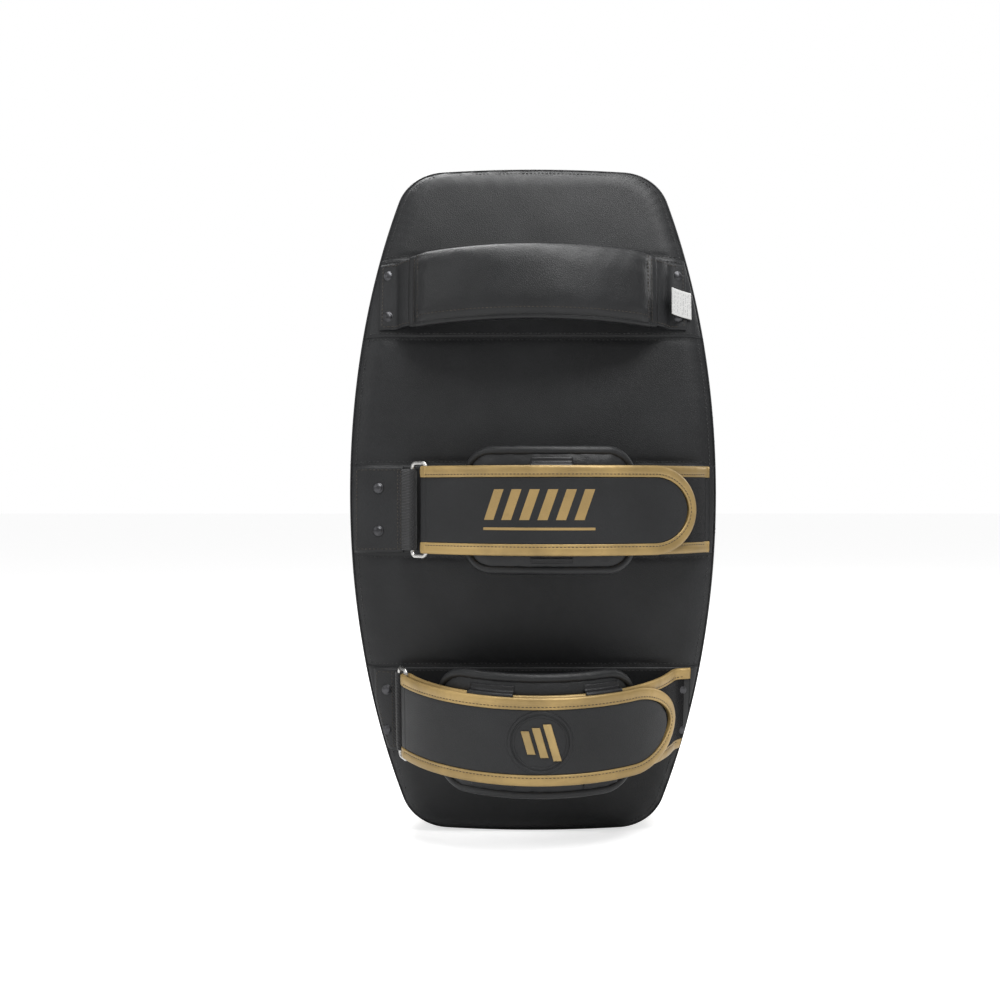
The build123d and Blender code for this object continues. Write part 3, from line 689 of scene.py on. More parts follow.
def side_surface(s_index, v):
    """Points of the side band: along the rim, and from front seam (0) to back seam (1)."""
    x, zeta = rim[s_index, 0][:, None], rim[s_index, 1][:, None]
    ox, oz = rim_out[s_index, 0][:, None], rim_out[s_index, 1][:, None]
    s = rim_s[s_index][:, None]
    r = FRONT_R + (BACK_R - FRONT_R) * v[None, :]
    edge = np.minimum(v, 1 - v)[None, :] * (BACK_R - FRONT_R)
    bulge = 1.9 * (1 - np.exp(-edge / 9.0))
    bulge = bulge + (np.exp(-edge / 9.0) * (1 - np.exp(-edge / 1.2)) * 0.8
                     * waves(s, r * 0.3, 21, 17.0, 3))
    bulge = bulge + 0.55 * waves(s, r, 23, 120.0, 3) * (1 - np.exp(-edge / 9.0))
    seam = np.exp(-np.abs(zeta - seam_zeta) / 2.6)
    near = np.exp(-np.abs(zeta - seam_zeta) / 16.0)
    bulge = bulge - 2.0 * seam * (1 - np.exp(-edge / 4.0))
    bulge = bulge + 0.8 * near * waves(r, s * 0.25, 25, 15.0, 3)
    flat = pad_point(x + 0 * r, zeta + 0 * r, r)
    a = np.arctan(END_TAN * zeta / HALF_H)
    up = np.stack([0 * a, -np.sin(a), np.cos(a)], -1)
    out = ox[..., None] * np.array([1.0, 0, 0]) + oz[..., None] * up
    return flat + out * bulge[..., None], out + 0 * flat, r


seam_zeta = band_zeta(-0.5, 0.0)


def build_cover():
    back = panel("back_panel_skin", "cover", back_radius, 64, "cover_leather", ("back_panel",))
    strike = panel("strike_panel_skin", "strike", strike_radius, 72, "cover_leather",
                   ("strike_panel",))
    v = np.linspace(0, 1, 34)
    right_seam = int(np.argmin(np.abs(rim[: N_RIM // 2, 1] - seam_zeta)))
    left_seam = N_RIM // 2 + int(np.argmin(np.abs(rim[N_RIM // 2:, 1] - seam_zeta)))
    halves = (("upper", np.arange(right_seam, left_seam + 1)),
              ("lower", np.arange(left_seam, N_RIM + right_seam + 1) % N_RIM))
    for name, idx in halves:
        pts, _, r = side_surface(idx, v)
        zeta = rim[idx, 1][:, None] + 0 * r
        sign = np.sign(rim[idx, 0])[:, None]
        u = (r - FRONT_R) + np.where(sign < 0, 0.0, OFF_PRINT)
        ends = np.abs(rim[idx, 1])[:, None] > 280
        uv = np.stack([u, zeta - 49.0 + np.where(ends, OFF_PRINT, 0.0)], -1)
        me = mesh_from(pts, grid_faces(len(idx), len(v)), uv)
        recalc_out(me)
        link(me, f"{name}_band_skin", "side", "pad", "cover_leather", (f"{name}_side_band",))


def recalc_out(me):
    """Turn an open sheet's faces away from the pad's middle."""
    mid = Vector((0, -40 * MM, MID_Z * MM))
    p = me.polygons[len(me.polygons) // 2]
    if p.normal.dot(p.center - mid) < 0:
        me.flip_normals()


def sweep(path, side, up, section, closed=False):
    """Sweep a closed section of (side, up) pairs along a path."""
    sec = np.asarray(section, float)
    if sec.ndim == 2:
        sec = np.broadcast_to(sec, (len(path),) + sec.shape)
    pts = path[:, None] + side[:, None] * sec[..., 0:1] + up[:, None] * sec[..., 1:2]
    return pts, tube_faces(len(path), sec.shape[1], closed)


def ring_section(rx, ry, n=10):
    t = np.linspace(0, 2 * math.pi, n, endpoint=False)
    return np.stack([rx * np.cos(t), ry * np.sin(t)], 1)


def joined(parts):
    """One mesh from several (points, faces)."""
    pts, faces, off = [], [], 0
    for p, f in parts:
        p = np.asarray(p).reshape(-1, 3)
        pts.append(p)
        faces += [[k + off for k in face] for face in f]
        off += len(p)
    return np.concatenate(pts), faces


def link_parts(parts, *place, outward=False):
    """Link one piece made of several (points, faces)."""
    me = mesh_from(*joined(parts))
    if outward:
        recalc(me)
    return link(me, *place)


def stitches(path, normal, pitch=3.3, length=2.3, radius=0.36, lift=0.05, closed=False):
    """Short rounded stitches along a path, half sunk in the leather."""
    pts = np.asarray(path, float)
    nrm = np.asarray(normal, float)
    if closed:
        pts = np.concatenate([pts, pts[:1]])
        nrm = np.concatenate([nrm, nrm[:1]])
    seg = np.linalg.norm(np.diff(pts, axis=0), axis=1)
    s = np.concatenate([[0], np.cumsum(seg)])
    count = max(int(s[-1] / pitch), 1)
    at = (np.arange(count) + 0.5) * s[-1] / count
    def look(t, arr):
        return np.stack([np.interp(t, s, arr[:, k]) for k in range(3)], 1)
    mid, nn = look(at, pts), look(at, nrm)
    nn /= np.linalg.norm(nn, axis=1)[:, None]
    tan = look(at + 0.5, pts) - look(at - 0.5, pts)
    tan /= np.linalg.norm(tan, axis=1)[:, None]
    side = np.cross(nn, tan)
    stations = ((-0.5, 0.25, -0.25), (-0.36, 0.85, 0.05), (0.0, 1.0, 0.15),
                (0.36, 0.85, 0.05), (0.5, 0.25, -0.25))
    k = 6
    ring = np.linspace(0, 2 * math.pi, k, endpoint=False)
    rows = []
    for f, w, h in stations:
        c = mid + tan * (f * length) + nn * (lift + h * radius)
        rows.append(c[:, None] + side[:, None] * (radius * w * np.cos(ring))[None, :, None]
                    + nn[:, None] * (radius * w * np.sin(ring))[None, :, None])
    pts = np.stack(rows, 1)
    one = tube_faces(len(stations), k, False)
    per = len(stations) * k
    faces = [[v + per * i for v in face] for i in range(count) for face in one]
    return pts.reshape(-1, 3), faces


def rim_path(radius, inset, lift=0.0):
    """Line round the pad at a radius, set in from the outline, with outward normals."""
    p = rim - rim_out * inset
    base = pad_point(p[:, 0], p[:, 1], np.full(N_RIM, radius))
    a = np.arctan(END_TAN * rim[:, 1] / HALF_H)
    up = np.stack([0 * a, -np.sin(a), np.cos(a)], -1)
    out = rim_out[:, :1] * np.array([1.0, 0, 0]) + rim_out[:, 1:] * up
    radial = np.stack([0 * a, np.cos(a), np.sin(a)], -1)
    return base + out * lift, out, radial


def foam_layer(name, node, low_of, high_of, rings=20):
    """A block of foam inside the cover, between two radius functions, drawn in from the outline."""
    edge = rim[::3] - rim_out[::3] * 4.5
    core = np.stack([np.zeros(len(edge)), np.clip(edge[:, 1], -190, 190)], 1)
    t = np.linspace(0, 1, rings) ** 0.7
    flat = core[:, None] + (edge - core)[:, None] * t[None, :, None]
    d = 4.5 + np.linalg.norm(edge - core, axis=1)[:, None] * (1 - t)[None, :]
    x, zeta, s = flat[..., 0], flat[..., 1], rim_s[::3, None] + 0 * d
    skins = [pad_point(x, zeta, f(x, zeta, d, s)).reshape(-1, 3) for f in (low_of, high_of)]
    n, off = len(edge), len(edge) * rings
    quads = grid_faces(n, rings, True)
    faces = quads + [[v + off for v in q[::-1]] for q in quads]
    for i in range(n):
        a, b = i * rings + rings - 1, (i + 1) % n * rings + rings - 1
        faces.append([a, b, b + off, a + off])
    me = mesh_from(np.concatenate(skins), faces)
    recalc(me, merge=True)
    link(me, name, "foam", "pad", "foam", (node,))


def build_foam():
    def level(r):
        return lambda x, zeta, d, s: r + 0 * x

    def front(x, zeta, d, s):
        return strike_radius(x, zeta, d, s) + 2.4

    def back(x, zeta, d, s):
        return back_radius(x, zeta, d, s) - 2.2
    foam_layer("impact_foam_block", "impact_foam", front, level(1159.8))
    foam_layer("core_foam_block", "core_foam", level(1160.2), level(1211.8))
    foam_layer("support_foam_block", "support_foam", level(1212.2), back)


def build_seams():
    path, out, radial = rim_path(FRONT_R, 0.0, 0.2)
    pts, faces = sweep(path, out, radial, ring_section(1.5, 1.5), True)
    link(mesh_from(pts, faces), "strike_piping_cord", "piping", "pad", "piping_leather",
         ("strike_piping",))
    path, out, radial = rim_path(BACK_R, 0.0, -0.15)
    pts, faces = sweep(path, out, radial, ring_section(0.95, 1.1), True)
    link(mesh_from(pts, faces), "back_welt_cord", "piping", "pad", "piping_leather", ("back_welt",))
    lines = []
    p, out, radial = rim_path(BACK_R, 5.2)
    rise = back_rise(np.full(N_RIM, 5.2))
    lines.append(stitches(p + radial * rise[:, None], radial, closed=True, pitch=SEAM_PITCH))
    for v, sgn in ((0.042, -1), (0.958, 1)):
        idx = np.arange(N_RIM)
        q, o, _ = side_surface(idx, np.array([v]))
        lines.append(stitches(q[:, 0], o[:, 0], closed=True, pitch=SEAM_PITCH, lift=0.02))
    for sx in (1, -1):
        for dz in (-3.4, 3.4):
            half = rim[: N_RIM // 2] if sx > 0 else rim[N_RIM // 2:]
            base = 0 if sx > 0 else N_RIM // 2
            k = base + int(np.argmin(np.abs(half[:, 1] - seam_zeta - dz)))
            q, o, _ = side_surface(np.array([k]), np.linspace(0.03, 0.97, 40))
            lines.append(stitches(q[0], o[0], pitch=SEAM_PITCH, lift=0.02))
    for angle, half in BAND_LINES:
        for off in (-half - 2.4, half + 2.4):
            z0 = band_zeta(angle, off)
            xs = np.linspace(-half_width(z0) + 8, half_width(z0) - 8, 120)
            rad = back_radius(xs, np.full(120, z0), edge_gap(xs, z0), xs)
            q = pad_point(xs, np.full(120, z0), rad)
            a = math.atan(END_TAN * z0 / HALF_H)
            nrm = np.tile([0, math.cos(a), math.sin(a)], (120, 1))
            lines.append(stitches(q, nrm, pitch=3.8, length=2.2))
    link_parts(lines, "cover_stitches", "black_thread", "pad", "lace_cord")


# ---- frames on the back ----
class Local:
    """Back frame at an angle: x along X, y out of the back, z up the back."""

    def __init__(self, angle):
        a = math.radians(angle)
        self.angle = angle
        self.o = np.array([0, AXIS_Y + BACK_R * math.cos(a), MID_Z + BACK_R * math.sin(a)])
        self.x = np.array([1.0, 0, 0])
        self.n = np.array([0, math.cos(a), math.sin(a)])
        self.t = np.array([0, -math.sin(a), math.cos(a)])

    def place(self, x, y, z):
        x, y, z = np.broadcast_arrays(x, y, z)
        return self.o + x[..., None] * self.x + y[..., None] * self.n + z[..., None] * self.t

    def turn(self, x, y):
        x, y = np.broadcast_arrays(x, y)
        return x[..., None] * self.x + y[..., None] * self.n

    def zeta(self, z):
        return HALF_H * np.tan(math.radians(self.angle) + z / BEND_R) / END_TAN

    def floor(self, x, z):
        """Height of the back panel in this frame."""
        x, z = np.broadcast_arrays(np.asarray(x, float), np.asarray(z, float))
        zeta = self.zeta(z)
        d = np.maximum(edge_gap(x, zeta), 0)
        return back_radius(x, zeta, d, x) - BACK_R - z ** 2 / (2 * BEND_R)


class Path:
    """A strap's centre line in a back frame, by length, with its outward normal."""

    def __init__(self, local, points):
        self.local = local
        p = np.asarray(points, float)
        seg = np.linalg.norm(np.diff(p, axis=0), axis=1)
        self.s = np.concatenate([[0], np.cumsum(seg)])
        tan = np.gradient(p, self.s, axis=0)
        tan /= np.linalg.norm(tan, axis=1)[:, None]
        self.p = p
        self.nrm = np.stack([-tan[:, 1], tan[:, 0]], 1)
        if self.nrm[:, 1].sum() < 0:
            self.nrm = -self.nrm
        self.length = self.s[-1]

    def at(self, s):
        p = np.stack([np.interp(s, self.s, self.p[:, k]) for k in (0, 1)], -1)
        n = np.stack([np.interp(s, self.s, self.nrm[:, k]) for k in (0, 1)], -1)
        return p, n / np.linalg.norm(n, axis=-1, keepdims=True)

    def point(self, s, z, h):
        s, z, h = np.broadcast_arrays(s, z, h)
        p, n = self.at(s)
        return self.local.place(p[..., 0] + n[..., 0] * h, p[..., 1] + n[..., 1] * h, z)

    def normal(self, s):
        _, n = self.at(s)
        return self.local.turn(n[..., 0], n[..., 1])


def on_arc(c, r, deg):
    t = np.radians(deg)
    return np.stack([c[0] + r * np.cos(t), c[1] + r * np.sin(t)], -1)


# ---- general soft pieces ----
def strap_rows(path, s_values, half_of, thick, cols=17, lift=0.0):
    """A flat strap as closed sections across z: top and bottom skins with rounded edges."""
    zc = np.sin(np.linspace(-1, 1, cols) * math.pi / 2)
    rows = []
    for s in s_values:
        half = half_of(s)
        bow = thick / 2 * np.clip(1 - np.abs(zc) ** 24, 0, 1) ** 0.5
        z = np.concatenate([zc, zc[::-1][1:-1]]) * half
        h = np.concatenate([bow, -bow[::-1][1:-1]]) + lift
        rows.append(path.point(np.full(len(z), s), z, h))
    return np.array(rows), tube_faces(len(rows), 2 * cols - 2, False)


def edge_section(width, core):
    """A folded binding's closed section: inset from the strap's edge, and height."""
    top = core / 2
    return np.array([
        (width, -top + 0.1), (width, top - 0.1), (width, top + 0.35), (width - 0.7, top + 0.75),
        (width - 1.7, top + 0.6), (width - 2.4, top + 0.35), (width - 3.2, top + 0.7),
        (width - 5.0, top + 1.05), (width - 7.2, top + 0.95), (1.0, top + 0.6), (0.1, top),
        (-0.35, 0.3), (-0.35, -0.3), (0.1, -top), (1.0, -top - 0.5), (width - 6.0, -top - 0.7),
        (width - 3.0, -top - 0.6), (width - 2.4, -top - 0.3), (width - 1.6, -top - 0.55),
        (width - 0.6, -top - 0.5)])


STITCH_INSET = BIND_W - 2.4


def binding(path, route, inward, seed, core=STRAP_T, width=BIND_W):
    """A folded binding along a route of (s, z) with inward directions, puffed and rippled."""
    sec = edge_section(width, core)
    route = np.asarray(route, float)
    inward = np.asarray(inward, float)
    seg = np.concatenate([[0], np.cumsum(np.linalg.norm(np.diff(route, axis=0), axis=1))])
    ripple = 1 + 0.22 * waves(seg, 0 * seg, seed, 11.0, 2)[:, None]
    s = route[:, :1] + inward[:, :1] * sec[None, :, 0]
    z = route[:, 1:] + inward[:, 1:] * sec[None, :, 0]
    over = np.sign(sec[:, 1]) * np.maximum(np.abs(sec[:, 1]) - core / 2, 0)
    h = (sec[:, 1] - over)[None, :] + over[None, :] * ripple
    return path.point(s, z, h), tube_faces(len(route), len(sec), False)


def binding_stitches(path, route, inward, core=STRAP_T, side=1):
    route, inward = np.asarray(route, float), np.asarray(inward, float)
    s = route[:, 0] + inward[:, 0] * STITCH_INSET
    z = route[:, 1] + inward[:, 1] * STITCH_INSET
    pts = path.point(s, z, side * (core / 2 + 0.4))
    return stitches(pts, path.normal(s) * side, pitch=3.3, length=2.2, radius=0.34)


def edge_runs(s_values, half):
    """Two straight edge routes at plus and minus half, with their inward directions."""
    s = np.asarray(s_values, float)
    for sgn in (1, -1):
        yield np.stack([s, np.full(len(s), sgn * half)], 1), np.tile([0.0, -sgn], (len(s), 1))


def slab_on_back(local, zs, x0_of, x1_of, thick, cols=33, base=0.0, sink=0.5):
    """A flat piece lying on the back panel: closed sections across x, one per height."""
    rows = []
    f = np.linspace(0, 1, cols)
    f = 0.5 - 0.5 * np.cos(math.pi * f)
    for z in zs:
        x0, x1 = x0_of(z), x1_of(z)
        x = x0 + (x1 - x0) * f
        floor = local.floor(x, np.full(cols, z)) + base
        end = np.minimum(x - x0, x1 - x)
        side = np.minimum(z - zs[0], zs[-1] - z)
        crown = 1 - np.exp(-np.minimum(end, side) / 0.45 - 0.15)
        top = floor + thick * crown
        xs = np.concatenate([x, x[::-1][1:-1]])
        hs = np.concatenate([top, (floor - sink)[::-1][1:-1]])
        hs[0] = floor[0] - sink / 2
        hs[cols - 1] = floor[-1] - sink / 2
        rows.append(local.place(xs, hs, np.full(len(xs), z)))
    return np.array(rows), tube_faces(len(rows), 2 * cols - 2, False)


def back_line(local, x, z, h):
    """A line lying on the back panel and its normals, for stitching."""
    x, z = np.broadcast_arrays(np.asarray(x, float), np.asarray(z, float))
    pts = local.place(x, local.floor(x, z) + h, z)
    return pts, local.turn(0 * x, np.cos(z / BEND_R))


def patch_heights(half):
    return np.concatenate([[-half, -half + 0.5, -half + 1.2], np.linspace(-half + 2.5, half - 2.5, 23),
                           [half - 1.2, half - 0.5, half]])


# ---- the bands across the back ----
def build_back_bands():
    lines = []
    for name, angle, half in (("handle", GRIP_A, 36.5), ("upper", STRAPS["upper"]["angle"], 39.5),
                              ("lower", STRAPS["lower"]["angle"], 39.0)):
        local = Local(angle)

        def edge(z):
            return float(half_width(local.zeta(z))) - 1.2
        pts, faces = slab_on_back(local, patch_heights(half), lambda z: -edge(z), edge, BAND_T, 121)
        link(mesh_from(pts, faces), f"{name}_back_band_leather", "cover", "pad", "band_leather",
             (f"{name}_back_band",))
        for z in (-half + 3.0, half - 3.0):
            x = np.linspace(-edge(z) + 4, edge(z) - 4, 150)
            p, n = back_line(local, x, z, BAND_T)
            lines.append(stitches(p, n, pitch=3.8, length=2.5, radius=0.38))
    link_parts(lines, "back_band_stitches", "black_thread", "pad", "lace_cord")


# ---- arm loops ----
def arch_points(c, r, a0, a1, n=120):
    return on_arc(c, r, np.linspace(a0, a1, n))


def smooth_corner(points, reach, n=10):
    """Round the inner corners of a short polyline by quadratic curves."""
    p = [np.asarray(q, float) for q in points]
    out = [p[0]]
    for a, b, c in zip(p[:-2], p[1:-1], p[2:]):
        ra = min(reach, np.linalg.norm(b - a) * 0.49)
        rc = min(reach, np.linalg.norm(c - b) * 0.49)
        q0 = b + (a - b) / np.linalg.norm(a - b) * ra
        q2 = b + (c - b) / np.linalg.norm(c - b) * rc
        t = np.linspace(0, 1, n)[:, None]
        out += list((1 - t) ** 2 * q0 + 2 * t * (1 - t) * b + t ** 2 * q2)
    out.append(p[-1])
    return out


def dense(points, step=1.2):
    pts = np.asarray(points, float)
    length = np.linalg.norm(np.diff(pts, axis=0), axis=1).sum()
    return resample(pts, max(int(length / step), 8))


def drape(local, pts, rest_y, margin=1.0):
    """Lay the low parts of a strap, drawn at a height of rest_y, on the back panel."""
    rel = pts - local.o
    x, y, z = pts[..., 0], rel @ local.n, rel @ local.t
    edge = half_width(local.zeta(z)) - margin
    x = np.clip(x, -edge, edge)
    low = np.clip((26.0 - y) / 12.0, 0, 1) ** 1.5
    y = y + (local.floor(x, z) + BAND_T - rest_y) * low
    return local.place(x, y, z)


def build_strap(name, spec):
    local = Local(spec["angle"])
    c, R, bx = spec["c"], spec["R"], spec["bar_x"]
    base_out = R - STRAP_T - GAP
    base_mid = base_out - STRAP_T / 2
    flap_mid = R - STRAP_T / 2
    bar_r = (base_mid + flap_mid) / 2
    bar_a = math.degrees(math.acos((bx - c[0]) / bar_r))
    bar = np.array(on_arc(c, bar_r, bar_a))
    e_r = (bar - np.array(c)) / bar_r
    e_t = np.array([-e_r[1], e_r[0]])
    start = bar_a + math.degrees(5.0 / R)
    tab = on_arc(bar, RING_REACH, spec["tilt"])
    fold_r = (flap_mid - base_mid) / 2
    body = f"{name}_flap"

    # base strap
    root = spec["root"]
    arch = arch_points(c, base_mid, start, root, 160)
    drop = (arch[-1][1] - STRAP_REST - 1.5) / -math.cos(math.radians(root))
    down = arch[-1] + np.array([-math.sin(math.radians(root)), math.cos(math.radians(root))]) * drop
    tail = smooth_corner([arch[-2], down, (spec["root_out"], STRAP_REST + 1.5)], 7.0)
    base = Path(local, dense(np.concatenate([arch[:-1], tail])))
    s_arch = base.s[np.argmin(np.linalg.norm(base.p - arch[-1], axis=1))]

    def hug(pts):
        return drape(local, pts, STRAP_REST)
    rows = np.linspace(0, base.length, 190)
    pts, faces = strap_rows(base, rows, lambda s: LEATHER_HALF, STRAP_T)
    link(mesh_from(hug(pts), faces), f"{name}_base_strap_leather", "strap", "pad", "strap_leather",
         (f"{name}_base_strap",))
    parts, lines = [], []
    for route, inward in edge_runs(rows, STRAP_HALF):
        parts.append(binding(base, route, inward, 80 + int(route[0, 1])))
        keep = route[:, 0] < base.length - 5.0 - (5.0 if name == "lower" and route[0, 1] < 0 else 0.0)
        q, g = binding_stitches(base, route[keep], inward[keep])
        lines.append((hug(q), g))
    parts = [(hug(q.reshape(-1, 3)), g) for q, g in parts]
    link_parts(parts, f"{name}_base_binding_tape", "gold", "pad", "gold_tape",
               (f"{name}_base_binding",))
    tip_a = math.degrees(math.acos((spec["tip"] - c[0]) / R))
    s_patch = s_arch - math.radians(root - tip_a + 38.0 / R * 57.3) * base_mid
    loop_rows = np.linspace(s_patch, base.length - 6, 70)
    p, f = strap_rows(base, loop_rows, lambda s: STRAP_HALF - BIND_W + 0.2, PILE, 23,
                      STRAP_T / 2 + PILE / 2 - 0.1)
    link(mesh_from(hug(p), f), f"{name}_loop_pile", "loop", "pad", "loop_fabric",
         (f"{name}_loop_tape",))

    # fold of the strap round the ring's free bar
    legs = np.linspace(5.6, 0, 6)
    phi = np.linspace(0, math.pi, 22)[1:-1]
    around = [bar - fold_r * e_r + e_t * k for k in legs]
    around += [bar + fold_r * (-math.cos(a) * e_r - math.sin(a) * e_t) for a in phi]
    around += [bar + fold_r * e_r + e_t * k for k in legs[::-1]]
    fold = Path(local, dense(around, 0.5))
    rows = np.linspace(0, fold.length, 48)
    p, f = strap_rows(fold, rows, lambda s: LEATHER_HALF, STRAP_T - 0.1)
    leather_fold = link(mesh_from(p, f), f"{name}_fold_leather", "strap", None,
                        "strap_leather", (f"{name}_fold",))
    parts = [binding(fold, r, i, 41, STRAP_T - 0.1) for r, i in edge_runs(rows, STRAP_HALF)]
    tape_fold = link_parts(parts, f"{name}_fold_binding", "gold", None, "gold_tape")
    w0 = local.place(*(bar - 2.2 * e_r), 0.0) * MM
    w1 = local.place(*(bar + 2.2 * e_r), 0.0) * MM
    for piece in (leather_fold, tape_fold):
        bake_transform(piece)

    # flap
    flap = Path(local, dense(arch_points(c, flap_mid, start - 0.3, tip_a + 0.6, 240), 0.8))

    def s_at(x):
        return math.radians(math.degrees(math.acos((x - c[0]) / R)) - (start - 0.3)) * flap_mid
    round_x = spec["tip"] + STRAP_HALF
    turn = np.radians(np.linspace(0, 89, 30))
    x_rows = np.concatenate([np.linspace(on_arc(c, R, start - 0.3)[0], round_x, 120)[:-1],
                             round_x - LEATHER_HALF * np.sin(turn)])
    s_rows = np.array([s_at(x) for x in x_rows])
    def core_half(s):
        x = np.interp(s, s_rows, x_rows)
        return LEATHER_HALF * math.sqrt(max(1 - (max(round_x - x, 0) / LEATHER_HALF) ** 2, 0.0004))
    p, f = strap_rows(flap, s_rows, core_half, STRAP_T, 25)
    u = np.repeat((s_rows - s_rows[0])[:, None], p.shape[1], 1)
    u[:, 25:] += OFF_PRINT
    v = (p - local.o) @ local.t
    mat = "upper_flap" if name == "upper" else "strap"
    link(mesh_from(p, f, np.stack([u, v], -1)), f"{name}_flap_leather", mat, body, "strap_leather",
         (f"{name}_flap",))
    x_run = np.linspace(on_arc(c, R, start - 0.3)[0], round_x, 110)[:-1]
    fan = np.radians(np.linspace(0, 180, 90))
    route = [(s_at(x), STRAP_HALF) for x in x_run]
    route += [(s_at(round_x - STRAP_HALF * math.sin(a)), STRAP_HALF * math.cos(a)) for a in fan]
    route += [(s_at(x), -STRAP_HALF) for x in x_run[::-1]]
    route = resample(np.array(route), 330)
    tan = np.gradient(route, axis=0)
    tan /= np.linalg.norm(tan, axis=1)[:, None]
    inward = np.stack([tan[:, 1], -tan[:, 0]], 1)
    if inward[0, 1] > 0:
        inward = -inward
    p, f = binding(flap, route, inward, 51)
    link(mesh_from(p, f), f"{name}_flap_binding_tape", "gold", body, "gold_tape",
         (f"{name}_flap_binding",))
    flap_lines = [binding_stitches(flap, route, inward), binding_stitches(flap, route, inward, side=-1)]
    hook_half = STRAP_HALF - BIND_W - 0.2
    hook_x = np.concatenate([np.linspace(round_x + 22, round_x, 20)[:-1],
                             round_x - hook_half * np.sin(np.radians(np.linspace(0, 88, 16)))])
    hook_rows = np.array([s_at(x) for x in hook_x])

    def hook_half_of(s):
        x = np.interp(s, hook_rows, hook_x)
        return hook_half * math.sqrt(max(1 - (max(round_x - x, 0) / hook_half) ** 2, 0.002))
    p, f = strap_rows(flap, hook_rows, hook_half_of, PILE, 21, -STRAP_T / 2 - PILE / 2 + 0.1)
    link(mesh_from(p, f), f"{name}_hook_pile", "hook", body, "hook_tape", (f"{name}_hook_tape",))

    # webbing round the ring's fixed bar, under the anchor patch
    foot_in, foot_out = spec["foot"]
    aim = math.atan2(11.1 - tab[1], foot_in - tab[0])
    wrap = [tab + 3.1 * np.array([math.cos(aim + a), math.sin(aim + a)])
            for a in np.radians(np.linspace(-90, -270, 26))]
    route = [(foot_in + 13, WEBBING_REST), (foot_in + 1, 10.5)] + wrap
    route += [(foot_in + 1, 12.3), (foot_in + 13, 11.9)]
    web = Path(local, dense(route, 0.8))
    p, f = strap_rows(web, np.linspace(0, web.length, 60), lambda s: STRAP_HALF - 2.0, 1.6, 21)
    p = drape(local, p, WEBBING_REST, 3.0)
    link(mesh_from(p, f), f"{name}_ring_webbing_loop", "webbing", "pad", "webbing",
         (f"{name}_ring_webbing",))

    # anchor patch
    def outer(z):
        return min(foot_out, float(half_width(local.zeta(z))) - 1.6)
    p, f = slab_on_back(local, patch_heights(STRAP_HALF + 0.5), lambda z: foot_in - 1.0, outer,
                        2.6, 33, BAND_T)
    link(mesh_from(p, f), f"{name}_anchor_leather", "strap", "pad", "strap_leather",
         (f"{name}_anchor_patch",))
    z = np.linspace(-STRAP_HALF + 3, STRAP_HALF - 3, 60)
    ends = np.array([outer(k) for k in z])
    for xx in (np.full(60, foot_in + 1.8), np.full(60, foot_in + 4.6), ends - 2.6):
        q, n = back_line(local, xx, z, BAND_T + 2.55)
        lines.append(stitches(q, n, pitch=3.4))
    for zz in (-STRAP_HALF + 2.8, STRAP_HALF - 2.8):
        xx = np.linspace(foot_in + 2, outer(zz) - 3, 24)
        q, n = back_line(local, xx, zz, BAND_T + 2.55)
        lines.append(stitches(q, n, pitch=3.4))
    link_parts(lines, f"{name}_base_stitches", "dark_thread", "pad", "lace_cord")
    link_parts(flap_lines, f"{name}_flap_stitches", "dark_thread", body, "lace_cord")

    build_cuff(name, spec, local, c, base_out)
    if name == "lower":
        build_badge(flap, s_at(-6.0), body)
    repaint(f"{name}_ring", "steel")


